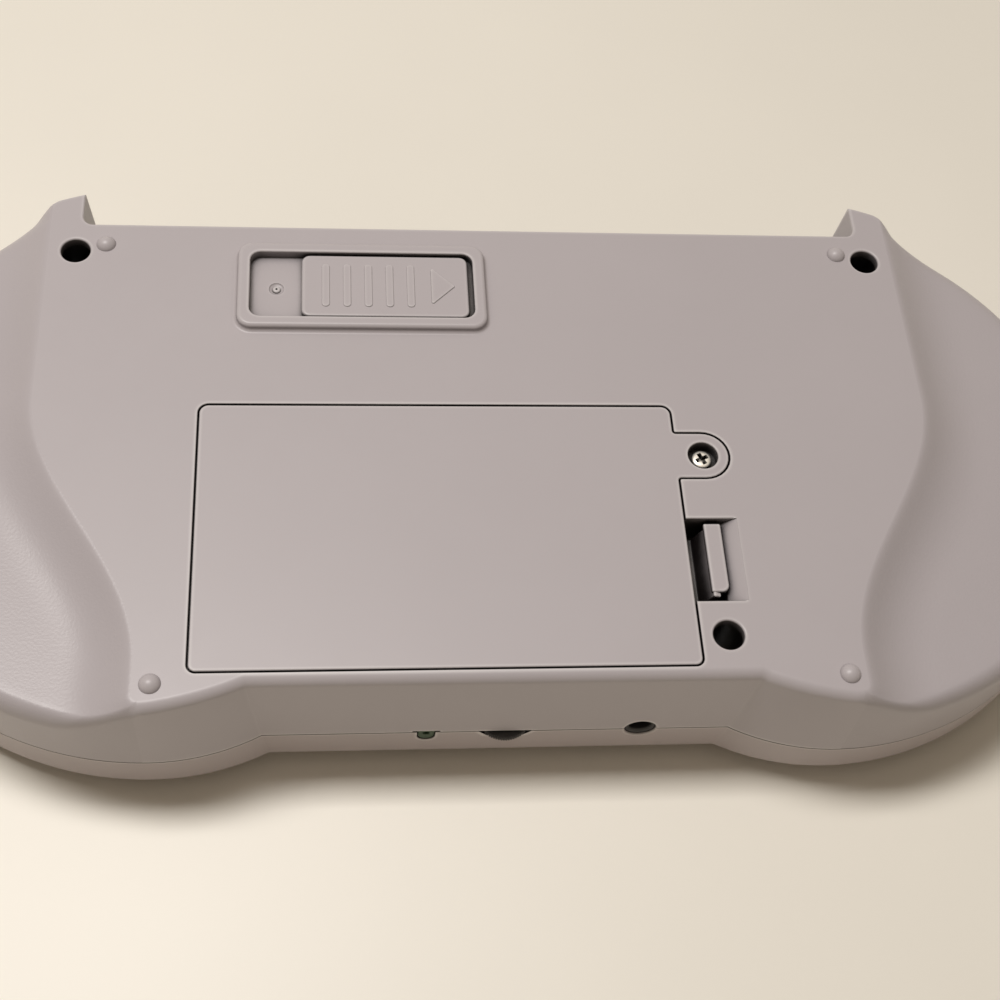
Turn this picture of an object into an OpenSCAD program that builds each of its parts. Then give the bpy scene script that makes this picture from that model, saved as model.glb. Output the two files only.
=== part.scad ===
// Handheld game console, lying on its face with the back panel up.
// Millimetres. X runs to the right, Y away from the near edge, Z up from the table.

/* [Case outline] */
// Distance of each grip's centre from the middle
grip_x = 57; // [55:0.5:59]
// Radius of a grip's outline
grip_r = 53.1; // [52.5:0.1:55]
// Radius of the bend between a grip and the waist
bend_r = 39; // [37:0.2:41]
// How far the waist lies inside the near ends of the grips
waist_in = 4.4; // [3.4:0.1:5.2]
// Distance of each horn's tip outside its grip's centre
horn_out = 15.3; // [14.6:0.1:16]
// Thickness of the case walls
wall = 2.2; // [1.8:0.1:2.6]

/* [Case heights] */
// Height of the screen surround above the front face
bezel_h = 2.6; // [2:0.1:3.2]
// Height of the front shell from its face to the parting line
front_h = 9; // [8:0.1:10]
// Height of the rear shell from the parting line to the panel
rear_h = 18.4; // [17:0.2:20]
// How far the grips lie below the back panel
grip_drop = 4.5; // [3:0.1:6]
// Thickness of the back panel
panel_t = 2.5; // [2.2:0.1:3]
// Rounding of the front shell's edge
front_r = 2; // [1.5:0.1:4]
// Rounding of the grips' rear rim on the near side
rim_r = 3; // [2:0.1:4]
// Rounding of the grips' rear rim on the far side
far_rim_r = 5; // [3:0.1:5.5]
// Rounding of the panel's near edge
waist_r = 2; // [1:0.1:2.6]
// Rounding of the horns' edge
horn_r = 1; // [0.6:0.1:1.4]

/* [Panel edge and cove] */
// How far the panel's side edge lies outside the grip's centre at the near end
edge_near = 1.2; // [0:0.1:2.5]
// How far it lies outside the grip's centre at the far end
edge_far = 20.8; // [19.5:0.1:22]
// Distance from the grips' near ends to where that edge starts to swing out
edge_start = 9.3; // [7.5:0.1:11]
// Length along Y of that swing
edge_run = 50.4; // [46:0.2:55]
// Width of the hollow slope beside the panel edge
cove_w = 12; // [9:0.5:15]
// How steeply that slope starts
cove_p = 2.5; // [1.8:0.1:3.2]

/* [Screws and feet] */
// How far the two far case screws lie outside the horns' tips
far_screw_out = 0.7; // [0.3:0.1:1.4]
// Distance of the two far case screws from the panel's far edge
far_screw_in = 6.2; // [5.6:0.1:7.5]
// X of the two near case screws
near_screw_x = 36.4; // [35:0.1:38]
// Distance of the two near case screws from the near edge
near_screw_in = 8.4; // [7.5:0.1:9]
// Radius of a screw well in the back panel
well_r = 2.6; // [2.4:0.1:3]
// Radius of the case screws' shank
shank_r = 1.25; // [1:0.05:1.5]
// Radius of a domed foot
foot_r = 1.54; // [1.3:0.02:2]
// Height of a foot above the panel
foot_h = 1.2; // [0.8:0.1:1.5]

/* [Battery cover] */
// Left edge of the cover
cover_x0 = -49.8; // [-51.5:0.1:-47]
// Right edge of the cover
cover_x1 = 31.55; // [30:0.05:33]
// Distance of the cover from the near edge
cover_in = 3.2; // [3:0.1:4]
// Length of the cover along Y
cover_d = 49.7; // [47:0.1:52]
// Thickness of the cover
cover_t = 2; // [1.6:0.1:2.3]
// Gap all round the cover
cover_gap = 0.4; // [0.3:0.05:0.6]
// How far the cover screw lies outside the right edge of the cover
ear_out = 4.85; // [4:0.05:6]
// Distance of the cover screw from the far edge of the cover
ear_in = 10.1; // [8:0.1:14]
// Radius of the cover's screw ear
ear_r = 4.5; // [4:0.1:5]
// Height of the battery bay's floor above the sockets' axis
bay_up = 4.7; // [4.5:0.1:6.5]

/* [Rear slide] */
// Left end of the slide's window
window_x0 = -41.9; // [-44:0.1:-40]
// Right end of the slide's window
window_x1 = -1.8; // [-3:0.1:1]
// Width of the slide's window along Y
window_w = 13.8; // [13:0.1:15]
// Distance of the window from the panel's far edge
window_in = 7.7; // [7.2:0.1:8.4]
// Height of the raised frame round the window
frame_h = 1.5; // [1:0.1:2]
// Length of the slide
slide_l = 30; // [27:0.5:31]

/* [Front face] */
// Width of the screen lens
lens_w = 80; // [76:0.5:84]
// Height of the screen lens
lens_h = 61; // [57:0.5:62.5]
// Distance of the screen lens from the near edge
screen_in = 15.1; // [14.6:0.1:16.5]
// Distance of the control clusters outside the grips' centre
pad_out = 21; // [19:0.5:22.5]
// How far the control clusters lie beyond the grips' centre along Y
pad_up = 4.9; // [2:0.1:7]
// Length of the direction pad from tip to tip
pad_l = 23; // [20:0.5:25]
// Width of one arm of the direction pad
pad_w = 8; // [7:0.1:9]
// Radius of a face button
button_r = 5.2; // [4.5:0.1:5.6]
// Distance of the face buttons from the middle of their cluster
button_ring = 10.5; // [10:0.1:12.5]
// Distance of the row of small controls from the near edge
menu_in = 8.3; // [7:0.1:9]

/* [Edge controls] */
// X of the headphone jack
phone_x = 24; // [18:0.5:29]
// Radius of the headphone jack's bore
phone_r = 1.8; // [1.3:0.05:2.2]
// X of the power jack
power_x = -12; // [-20:0.5:-9.5]
// X of the volume wheel
wheel_x = 1.2; // [-2:0.2:8]
// Radius of the volume wheel
wheel_r = 5.5; // [5:0.1:7]
// How far the volume wheel stands out of the case
wheel_out = 1.7; // [1.2:0.1:2.5]
// Angle where a shoulder button starts, at its pivot
shoulder_a0 = 34; // [32:0.5:38]
// Angle where a shoulder button ends
shoulder_a1 = 62; // [58:0.5:63]

/* [Hidden] */
$fn = 48;

// Heights
face_z = bezel_h;
part_z = face_z + front_h;
panel_z = part_z + rear_h;
grip_z = panel_z - grip_drop;
under_z = panel_z - panel_t;
floor_z = face_z + wall;
grip_under_z = grip_z - wall - 0.2;

// Outline
horn_x = grip_x + horn_out;
edge_near_x = grip_x + edge_near;
edge_far_x = grip_x + edge_far;
horn_a = acos((horn_x - grip_x) / grip_r);
edge_a = acos((edge_far_x - grip_x) / grip_r);
bend_a = acos(1 - waist_in / bend_r);
grip_y = grip_r * (1 - sin(horn_a)) / 2;
near_y = grip_y - grip_r;
far_y = grip_y + grip_r * sin(horn_a);
bend_y = near_y + bend_r;
waist_y = near_y + waist_in;
panel_far_y = far_y - 7.1;
edge_y0 = near_y + edge_start;
n_bend = 6;
n_grip = 40;
n_horn = 3;
n_all = n_bend + n_grip + n_horn;
n_cove = 7;
m_rear = 4 + n_cove;
m_front = 6;
far = 80;

// Colours
shell_c = [0.70, 0.67, 0.68];
dark_c = [0.13, 0.13, 0.14];
metal_c = [0.72, 0.72, 0.74];
board_c = [0.10, 0.32, 0.20];
rubber_c = [0.30, 0.30, 0.32];
purple_c = [0.36, 0.30, 0.52];
lilac_c = [0.62, 0.57, 0.76];

function mix(a, b, f) = a + (b - a) * f;
function clip01(t) = max(0, min(1, t));
function ease(t) = (1 - cos(180 * clip01(t))) / 2;
function edge_x(y) = mix(edge_near_x, edge_far_x, ease((y - edge_y0) / edge_run));
function edge_slope(y) =
    (edge_far_x - edge_near_x) / 2 * sin(180 * clip01((y - edge_y0) / edge_run)) * PI / edge_run;
function edge_gap(p) = (p[0] - edge_x(p[1])) / sqrt(1 + pow(edge_slope(p[1]), 2));
function top_z(p) =
    panel_z - grip_drop * (1 - pow(1 - clip01(edge_gap(p) / cove_w), cove_p));

// Points of the right half of the outline, from the waist round the grip to the horn
function grip_angle(i) = i <= n_bend + n_grip ?
    mix(-90, edge_a, (i - n_bend) / n_grip) :
    mix(edge_a, horn_a, (i - n_bend - n_grip) / n_horn);
function bend_angle(i) = bend_a * (1 - i / n_bend);
function outline_pt(i) = i <= n_bend ?
    [grip_x - bend_r * sin(bend_angle(i)), near_y + bend_r * (1 - cos(bend_angle(i)))] :
    [grip_x + grip_r * cos(grip_angle(i)), grip_y + grip_r * sin(grip_angle(i))];
function inward(i) =
    i == 0 ? [tan(bend_a / 2), 1] :
    i <= n_bend ? [sin(bend_angle(i)), cos(bend_angle(i))] :
    i == n_all ? [-tan((90 - horn_a) / 2), -1] :
    [-cos(grip_angle(i)), -sin(grip_angle(i))];
function on_grip(i) = i > n_bend && i <= n_bend + n_grip;

// Inner end of each section of the rear shell, on the panel's edge
function plain_r(i) = i <= n_bend ? mix(waist_r, rim_r, i / n_bend) : horn_r;
function panel_y(i) = mix(near_y + rim_r, far_y - 3.1, (i - n_bend) / n_grip);
function panel_pt(i) = on_grip(i) ?
    [edge_x(panel_y(i)), panel_y(i)] : outline_pt(i) + plain_r(i) * inward(i);
function span(i) = norm(panel_pt(i) - outline_pt(i));
function grip_rim(i) = mix(rim_r, far_rim_r, ease(((i - n_bend) / n_grip - 0.45) / 0.3));
function round_r(i) = on_grip(i) ? min(grip_rim(i), 0.6 * span(i)) : plain_r(i);
function aim(i) = on_grip(i) ? (panel_pt(i) - outline_pt(i)) / span(i) : inward(i);
function up(p, z) = [p[0], p[1], z];
function rear_arc(i, a, p, r) =
    up(outline_pt(i) + r * (1 - cos(a)) * aim(i), top_z(p) - r * (1 - sin(a)));
function rear_section(i) = let (r = round_r(i), p = outline_pt(i) + r * aim(i)) concat(
    [up(outline_pt(i), part_z)],
    [for (a = [0, 30, 60, 90]) rear_arc(i, a, p, r)],
    [for (k = [1:n_cove]) let (q = mix(p, panel_pt(i), k / n_cove))
        up(q, k == n_cove || !on_grip(i) ? panel_z : top_z(q))]
);
function front_section(i) = concat(
    [up(outline_pt(i), part_z)],
    [for (a = [0:18:90]) up(outline_pt(i) + front_r * (1 - cos(a)) * inward(i),
        face_z + front_r * (1 - sin(a)))]
);

// A closed skin from sections: the right half, its mirror image, and the flat between them
function tri(a, b, c) = a == b || b == c || a == c ? [] : [[a, b, c]];
function quad(a, b, c, d) = concat(tri(a, b, c), tri(a, c, d));
function mirrored(p) = [-p[0], p[1], p[2]];
function flipped(t) = [t[0], t[2], t[1]];

module skin(sections, m, short, turn) {
    w = m + 1;
    n = n_all;
    half = (n + 1) * w;
    right = [for (s = sections) for (p = s) p];
    caps = [for (e = [0, m]) for (i = [0:n])
        mix(sections[0][e], sections[n][e], max(0, i - n_bend) / (n - n_bend))];
    points = concat(right, [for (p = right) mirrored(p)], caps, [for (p = caps) mirrored(p)]);
    function at(i, k) = i * w + (on_grip(i) ? k : min(k, short));
    function spine(i, e) =
        i <= n_bend ? at(0, e * m) :
        i == n ? at(n, e * m) : 2 * half + e * (n + 1) + i;
    function other(v) = v < half ? v + half : v + 2 * (n + 1);
    sides = [for (i = [0:n - 1]) for (k = [0:m - 1])
        each quad(at(i, k), at(i, k + 1), at(i + 1, k + 1), at(i + 1, k))];
    tops = [for (i = [0:n - 1])
        each quad(at(i, m), spine(i, 1), spine(i + 1, 1), at(i + 1, m))];
    bottoms = [for (i = [0:n - 1])
        each quad(at(i, 0), at(i + 1, 0), spine(i + 1, 0), spine(i, 0))];
    own = concat(sides, tops, bottoms);
    twins = [for (t = own) flipped([for (v = t) other(v)])];
    near = [for (k = [0:m - 1])
        each quad(other(at(0, k)), other(at(0, k + 1)), at(0, k + 1), at(0, k))];
    back = [for (k = [0:m - 1])
        each quad(at(n, k), at(n, k + 1), other(at(n, k + 1)), other(at(n, k)))];
    middle = [for (i = [n_bend:n - 1]) each quad(
        spine(i, 1), other(spine(i, 1)), other(spine(i + 1, 1)), spine(i + 1, 1))];
    base = [for (i = [n_bend:n - 1]) each quad(
        spine(i, 0), spine(i + 1, 0), other(spine(i + 1, 0)), other(spine(i, 0)))];
    faces = concat(own, twins, near, back, middle, base);
    polyhedron(points = points, faces = turn ? [for (t = faces) flipped(t)] : faces);
}

// Small builders
function corner(x, y, r, a0) = [for (a = [a0:15:a0 + 90]) [x + r * cos(a), y + r * sin(a)]];
function round_rect(x0, x1, y0, y1, r) = concat(
    corner(x1 - r, y0 + r, r, -90),
    corner(x1 - r, y1 - r, r, 0),
    corner(x0 + r, y1 - r, r, 90),
    corner(x0 + r, y0 + r, r, 180)
);
module slab(x0, x1, y0, y1, z0, z1, r) {
    translate([0, 0, z0])
        linear_extrude(z1 - z0)
            polygon(round_rect(x0, x1, y0, y1, r));
}
module block(x0, x1, y0, y1, z0, z1) {
    translate([x0, y0, z0])
        cube([x1 - x0, y1 - y0, z1 - z0]);
}
module rod(x, y, z0, z1, r) {
    translate([x, y, z0])
        cylinder(h = z1 - z0, r = r);
}
module along_y(x, z, y0, y1, r) {
    translate([x, y0, z])
        rotate([-90, 0, 0])
            cylinder(h = y1 - y0, r = r);
}
module both() {
    children();
    mirror([1, 0, 0])
        children();
}

// Plan of the space inside the case
module inner_plan() {
    inner_r = grip_r - wall;
    intersection() {
        translate([-far * 2, -far])
            square([far * 4, far + far_y - wall]);
        union() {
            both() {
                difference() {
                    translate([grip_x, grip_y])
                        circle(r = inner_r);
                    translate([0, -far])
                        square([grip_x, far + bend_y]);
                }
                translate([grip_x, bend_y])
                    circle(r = bend_r - wall - 0.2);
            }
            translate([-grip_x, waist_y + wall])
                square([2 * grip_x, 2 * far]);
        }
    }
}
horn_in = horn_x - 2.1;
horn_y = far_y - 8.6;
module horn_fill() {
    both()
        block(horn_in, horn_x + 2.7, horn_y, far, -far, far);
}
module space(z0, z1) {
    difference() {
        translate([0, 0, z0])
            linear_extrude(z1 - z0)
                inner_plan();
        horn_fill();
    }
}

// Case screws
far_screw_x = horn_x + far_screw_out;
far_screw_y = panel_far_y - far_screw_in;
near_screw_y = waist_y + near_screw_in;
screw_spots = [[far_screw_x, far_screw_y], [-far_screw_x, far_screw_y],
    [near_screw_x, near_screw_y], [-near_screw_x, near_screw_y]];
post_z = part_z + 1.1;
seat_z = post_z + 1.5;
head_h = 1.7;
post_r = well_r + 1;
boss_r = 3.2;
post_gap = 0.15;
module at_screws() {
    for (s = screw_spots)
        translate([s[0], s[1], 0])
            children();
}

// Screen stack
screen_y = waist_y + screen_in + lens_h / 2;
lens_t = 1.2;
lens_z = 0.3;
lens_seat = lens_z + lens_t;
lcd_w = lens_w - 3;
lcd_h = lens_h - 0.5;
lcd_z = lens_seat + 2.1;
lcd_t = 3.2;
lcd_fit = 0.2;
frame_t = 0.5;
board_z = max(lcd_z + lcd_t + frame_t + 0.2, floor_z + 2.7);
board_t = 1.6;
board_top = board_z + board_t;
ring_w = 3.4;

// Battery bay
bay_wall = 1.5;
phone_z = max(part_z, board_top + phone_r + 0.7);
cover_y0 = waist_y + cover_in;
cover_y1 = cover_y0 + cover_d;
ear_x = cover_x1 + ear_out;
ear_y = cover_y1 - ear_in;
bay_floor_z = phone_z + bay_up;
bay_x0 = cover_x0 + 1.2;
bay_x1 = cover_x1 - 1.25;
bay_y0 = cover_y0 + 1.25;
bay_y1 = cover_y1 - 1.2;
ear_t = 3.4;
ear_web = 1;
ear_boss_top = panel_z - ear_t - 0.2;
contact_l = 3.2;
contact_pitch = 10;
hook_w = 6;
hook_z1 = under_z - 0.8;
hook_z0 = hook_z1 - 1.1;
hook_spots = [cover_y0 + 9, cover_y1 - 15];

// Latch recess
latch_x0 = cover_x1 + cover_gap;
latch_x1 = latch_x0 + 8.75;
latch_l = 15.6;
latch_y0 = cover_y0 + 11.4;
latch_y1 = latch_y0 + latch_l;
latch_z = panel_z - 6.8;
clip_w = latch_l - 2.4;
clip_y = (latch_y0 + latch_y1) / 2;

// Rear slide
slide_gap = 0.3;
window_y1 = panel_far_y - window_in;
window_y0 = window_y1 - window_w;
window_mid = (window_y0 + window_y1) / 2;
window_floor = panel_z - 0.3;
slide_x1 = window_x1 - 0.9;
slide_x0 = slide_x1 - slide_l;
slide_travel = slide_x0 - window_x0 - 0.2;
slide_z0 = window_floor + 0.3;
slide_z1 = slide_z0 + 1;
tongue_x0 = slide_x0 + 12;
tongue_x1 = tongue_x0 + 6;
tongue_y0 = window_y0 + 1.2;
tongue_y1 = tongue_y0 + 3.6;
keeper_t = 1.3;

// Shoulder buttons
shoulder_z0 = part_z - 3.4;
shoulder_z1 = part_z + 6.6;
shoulder_gap = 0.35;
shoulder_out = 1;
pin_a = shoulder_a0 - 1;
pin_ring = grip_r - 5.6;
pin_x = grip_x + pin_ring * cos(pin_a);
pin_y = grip_y + pin_ring * sin(pin_a);
pin_r = 1;
pin_boss_r = 2.6;
pin_z0 = floor_z + 0.6;
pin_z1 = grip_under_z - 0.3;
pin_fit = 0.05;
pin_run = 0.3;
switch_r = grip_r - 9.5;

// A ring sector about the right grip's centre
module sector(r0, r1, a0, a1, z0, z1) {
    translate([grip_x, grip_y, z0])
        rotate([0, 0, a0])
            rotate_extrude(angle = a1 - a0)
                translate([r0, 0])
                    square([r1 - r0, z1 - z0]);
}

// Edge openings
jack_y = waist_y + wall + 0.2;
jack_l = 11.5;
collar_r = phone_r + 0.55;
power_z = max(part_z - 0.5, board_top + 2);
collar_y = waist_y + 0.5;
wheel_y = waist_y - wheel_out + wheel_r;
wheel_z0 = max(part_z - 1.95, board_top + 0.55);
wheel_z1 = wheel_z0 + 1.6;
wheel_gap = 0.4;
module edge_cuts() {
    along_y(phone_x, phone_z, waist_y - 1, waist_y + wall + 1, collar_r + 0.3);
    along_y(power_x, power_z - 0.1, waist_y - 1, waist_y + wall + 1, 2);
    block(power_x - 2.4, power_x + 2.4, waist_y - 1, waist_y + wall + 1, power_z - 0.1, power_z + 1.2);
    rod(wheel_x, wheel_y, wheel_z0 - wheel_gap, max(part_z + 0.5, wheel_z1 + wheel_gap),
        wheel_r + wheel_gap);
}

module shoulder_window() {
    both()
        sector(grip_r - 6, grip_r + 6, shoulder_a0 - 0.9, shoulder_a1 + 1.2,
            shoulder_z0 - shoulder_gap, shoulder_z1 + shoulder_gap);
}

module slot_cut() {
    translate([0, panel_far_y, 0])
        rotate([90, 0, 180])
            linear_extrude(far)
                polygon([[-horn_in - 0.3, part_z - 1], [horn_in + 0.3, part_z - 1],
                    [horn_x - 0.1, panel_z], [horn_x - 0.1, panel_z + 9],
                    [-horn_x + 0.1, panel_z + 9], [-horn_x + 0.1, panel_z]]);
}

// Raised frame round the slide's window, with sloping outer sides
module slide_frame() {
    rim = 2.2;
    foot = 3.1;
    hull() {
        slab(window_x0 - foot, window_x1 + foot, window_y0 - foot, window_y1 + foot,
            panel_z - 0.5, panel_z, 3.4);
        slab(window_x0 - rim, window_x1 + rim, window_y0 - rim, window_y1 + rim,
            panel_z, panel_z + frame_h, 2.6);
    }
}

module cover_outline(grow, z0, z1) {
    slab(cover_x0 - grow, cover_x1 + grow, cover_y0 - grow, cover_y1 + grow, z0, z1, 2 + grow);
    rod(ear_x, ear_y, z0, z1, ear_r + grow);
    block(cover_x1 - 3, ear_x, ear_y - ear_r - grow, ear_y + ear_r + grow, z0, z1);
}

module latch_profile() {
    polygon([[latch_x0 - 1, latch_z], [latch_x0 + 5.25, latch_z], [latch_x0 + 6.85, panel_z - 2.2],
        [latch_x1, panel_z], [latch_x1, panel_z + 1], [latch_x0 - 1, panel_z + 1]]);
}
module latch_cut() {
    translate([0, latch_y1, 0])
        rotate([90, 0, 0])
            linear_extrude(latch_y1 - latch_y0)
                latch_profile();
    block(bay_x1 - 1, latch_x0, clip_y - clip_w / 2 - 0.5, clip_y + clip_w / 2 + 0.5,
        latch_z, panel_z);
}

module rear_inside() {
    upper_in = 3;
    n_in = 22;
    right = [for (k = [0:n_in]) let (y = mix(waist_y + wall, horn_y - 1, k / n_in))
        [edge_x(y) - upper_in, y]];
    left = [for (k = [n_in:-1:0]) [-right[k][0], right[k][1]]];
    space(part_z - 1, grip_under_z);
    translate([0, 0, grip_under_z - 1])
        linear_extrude(under_z - grip_under_z + 1)
            polygon(concat(right,
                [[horn_in, horn_y], [horn_in, far], [-horn_in, far], [-horn_in, horn_y]], left));
}

module rear_shell() {
    color(shell_c)
    difference() {
        union() {
            difference() {
                skin([for (i = [0:n_all]) rear_section(i)], m_rear, 4, false);
                rear_inside();
            }
            at_screws()
                rod(0, 0, post_z, under_z + 1, post_r);
            block(bay_x0 - bay_wall, bay_x1 + bay_wall, waist_y + 1, bay_y1 + bay_wall,
                bay_floor_z - bay_wall, under_z + 1);
            block(bay_x1, latch_x1 + 1.5, latch_y0 - 1.5, latch_y1 + 1.5,
                latch_z - 1.4, under_z + 1);
            rod(ear_x, ear_y, ear_boss_top - 6.5, under_z + 1, ear_r + 1.2);
            both()
                rod(pin_x, pin_y, shoulder_z1 + 0.5, grip_under_z + 1, pin_boss_r);
            slide_frame();
            for (s = [-1, 1]) {
                translate([s * (horn_x - 4.6), panel_far_y - 4.7, panel_z + foot_h - foot_r])
                    sphere(r = foot_r);
                translate([s * (edge_near_x - 2.8), near_y + 5.6, panel_z + foot_h - foot_r])
                    sphere(r = foot_r);
            }
        }
        slot_cut();
        shoulder_window();
        edge_cuts();
        at_screws() {
            rod(0, 0, seat_z, far, well_r);
            rod(0, 0, post_z - 1, seat_z + 1, shank_r + 0.25);
        }
        cover_outline(cover_gap, panel_z - cover_t - 0.1, far);
        rod(ear_x, ear_y, ear_boss_top, far, ear_r + cover_gap);
        rod(ear_x, ear_y, ear_boss_top - 5, far, 1.4);
        block(bay_x0, bay_x1, bay_y0, bay_y1, bay_floor_z, far);
        for (y = hook_spots)
            block(bay_x0 - bay_wall - 4, bay_x0 + 1, y - 0.4, y + hook_w + 0.4, hook_z0 - 1, under_z);
        latch_cut();
        slab(window_x0, window_x1, window_y0, window_y1, window_floor, far, 1.6);
        block(tongue_x0 - slide_travel - 0.5, tongue_x1 + 0.5, tongue_y0 - 0.4, tongue_y1 + 0.4,
            under_z - 1, far);
        both()
            rod(pin_x, pin_y, shoulder_z1, pin_z1 + 0.1, pin_r + pin_fit);
    }
    color(shell_c)
    translate([window_x0 + 4.7, window_mid, 0])
        rod(0, 0, window_floor - 0.1, window_floor + 0.2, 0.9);
}

module battery_cover() {
    clip_t = 1;
    clip_x0 = cover_x1 - 1;
    clip_x1 = cover_x1 + 4.65;
    tab_x1 = clip_x1 + 2;
    color(shell_c)
    difference() {
        union() {
            cover_outline(0, panel_z - cover_t, panel_z);
            rod(ear_x, ear_y, panel_z - ear_t, panel_z, ear_r);
            for (y = hook_spots) {
                block(cover_x0 - 2.6, cover_x0 + 2.4, y, y + hook_w, hook_z0, hook_z1);
                block(cover_x0 + 1.4, cover_x0 + 2.4, y, y + hook_w, hook_z0,
                    panel_z - cover_t + 0.2);
            }
            translate([0, clip_y + clip_w / 2, 0])
                rotate([90, 0, 0])
                    linear_extrude(clip_w)
                        polygon([[clip_x0, panel_z - cover_t + 0.2], [clip_x0, latch_z + 0.6],
                            [clip_x1, latch_z + 0.6], [clip_x1, panel_z - 2.2],
                            [tab_x1, panel_z - 1.6], [tab_x1, panel_z - 0.7],
                            [clip_x1 - clip_t, panel_z - 0.7], [clip_x1 - clip_t, latch_z + 1.6],
                            [cover_x1, latch_z + 1.6], [cover_x1, panel_z - cover_t + 0.2]]);
        }
        rod(ear_x, ear_y, panel_z - ear_t + ear_web, far, 2.65);
        rod(ear_x, ear_y, panel_z - ear_t - 1, far, 1.15);
    }
}

// A screw with a domed head and a cross recess, head resting on z = 0
module screw(head_r, h, r, l) {
    difference() {
        union() {
            rod(0, 0, 0, h, head_r);
            rod(0, 0, -l, 0.2, r);
        }
        for (a = [0, 90])
            rotate([0, 0, a])
                block(-head_r * 0.62, head_r * 0.62, -0.3, 0.3, h * 0.4, h + 1);
    }
}

module cover_screw() {
    color(metal_c)
    translate([ear_x, ear_y, panel_z - ear_t + ear_web])
        screw(2, 1.3, 1, 3.6);
}

module rear_slide() {
    color(shell_c) {
        slab(slide_x0, slide_x1, window_y0 + slide_gap, window_y1 - slide_gap,
            slide_z0, slide_z1, 1);
        block(tongue_x0, tongue_x1, tongue_y0, tongue_y1, under_z - 0.3 - keeper_t, slide_z0 + 0.2);
        pitch = slide_l * 0.127;
        for (k = [0:4])
            translate([slide_x0 + 4.3 + pitch * k, window_mid, 0])
                slab(-0.7, 0.7, -4.8, 4.8, slide_z1 - 0.2, slide_z1 + 0.4, 0.65);
        translate([slide_x1 - 6.8, window_mid, slide_z1 - 0.2])
            linear_extrude(0.45)
                polygon([[0, -4.3], [4.3, 0], [0, 4.3], [0.7, -2.5], [3.2, 0], [0.7, 2.5]],
                    [[0, 1, 2], [3, 4, 5]]);
    }
}

module slide_clip() {
    top = under_z - 0.3;
    color(dark_c)
    difference() {
        block(tongue_x0 - 3, tongue_x1 + 3, tongue_y0 - 2.4, tongue_y1 + 2, top - keeper_t, top);
        block(tongue_x0 - pin_fit, tongue_x1 + pin_fit, tongue_y0 - pin_fit, tongue_y1 + pin_fit,
            top - keeper_t - 1, top + 1);
    }
}

module case_screws() {
    color(metal_c)
    at_screws()
        translate([0, 0, seat_z])
            screw(2.2, head_h, shank_r, seat_z - floor_z - 1.8);
}

// Screen
module screen_box(w, h, z0, z1, r) {
    slab(-w / 2, w / 2, screen_y - h / 2, screen_y + h / 2, z0, z1, r);
}

// Controls, named as the player sees them: the player's left is +X, because the face is down
pad_x = grip_x + pad_out;
pad_y = grip_y + pad_up;
dpad_x = pad_x;
face_x = -pad_x;
menu_y = waist_y + menu_in;
travel = 1;
button_gap = 0.3;
flange_z = floor_z + 0.3;
flange_t = 0.9;
flange_top = flange_z + flange_t;
sheet_t = 0.4;
dome_top = board_z - sheet_t;
pad_flange_r = pad_l / 2 + 1.9;
pad_top = face_z - bezel_h + 1;
button_top_z = face_z - bezel_h + 0.5;
pad_pocket_z = floor_z - 0.8;
pad_flange_z = pad_pocket_z + 1.2;
ball_r = 0.95;
ball_fit = 0.3;
ball_z = board_z - ball_r - ball_fit;
knob_travel = 4;
start_x = 8;
light_x = -25;
knob_x = 23;
menu_l = 9;
menu_w = 3.6;
speaker_x = grip_x + 7;
speaker_in = 21;
speaker_y = near_y + speaker_in;
speaker_r = 10;

module pad_cross(grow, z0, z1) {
    l = pad_l / 2 + grow;
    w = pad_w / 2 + grow;
    slab(-l, l, -w, w, z0, z1, 1.2);
    slab(-w, w, -l, l, z0, z1, 1.2);
}
module at_buttons() {
    for (a = [0, 90, 180, 270])
        translate([face_x + button_ring * cos(a), pad_y + button_ring * sin(a), 0])
            children();
}
module pill(l, w, z0, z1) {
    slab(-l / 2, l / 2, -w / 2, w / 2, z0, z1, w / 2 - 0.05);
}

spot_x = lcd_w / 2 + 8.5;
spot_near = 28;
spot_far = 22;
board_spots = [for (x = [-spot_x, spot_x]) for (y = [-spot_near, spot_far]) [x, screen_y + y]];

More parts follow.
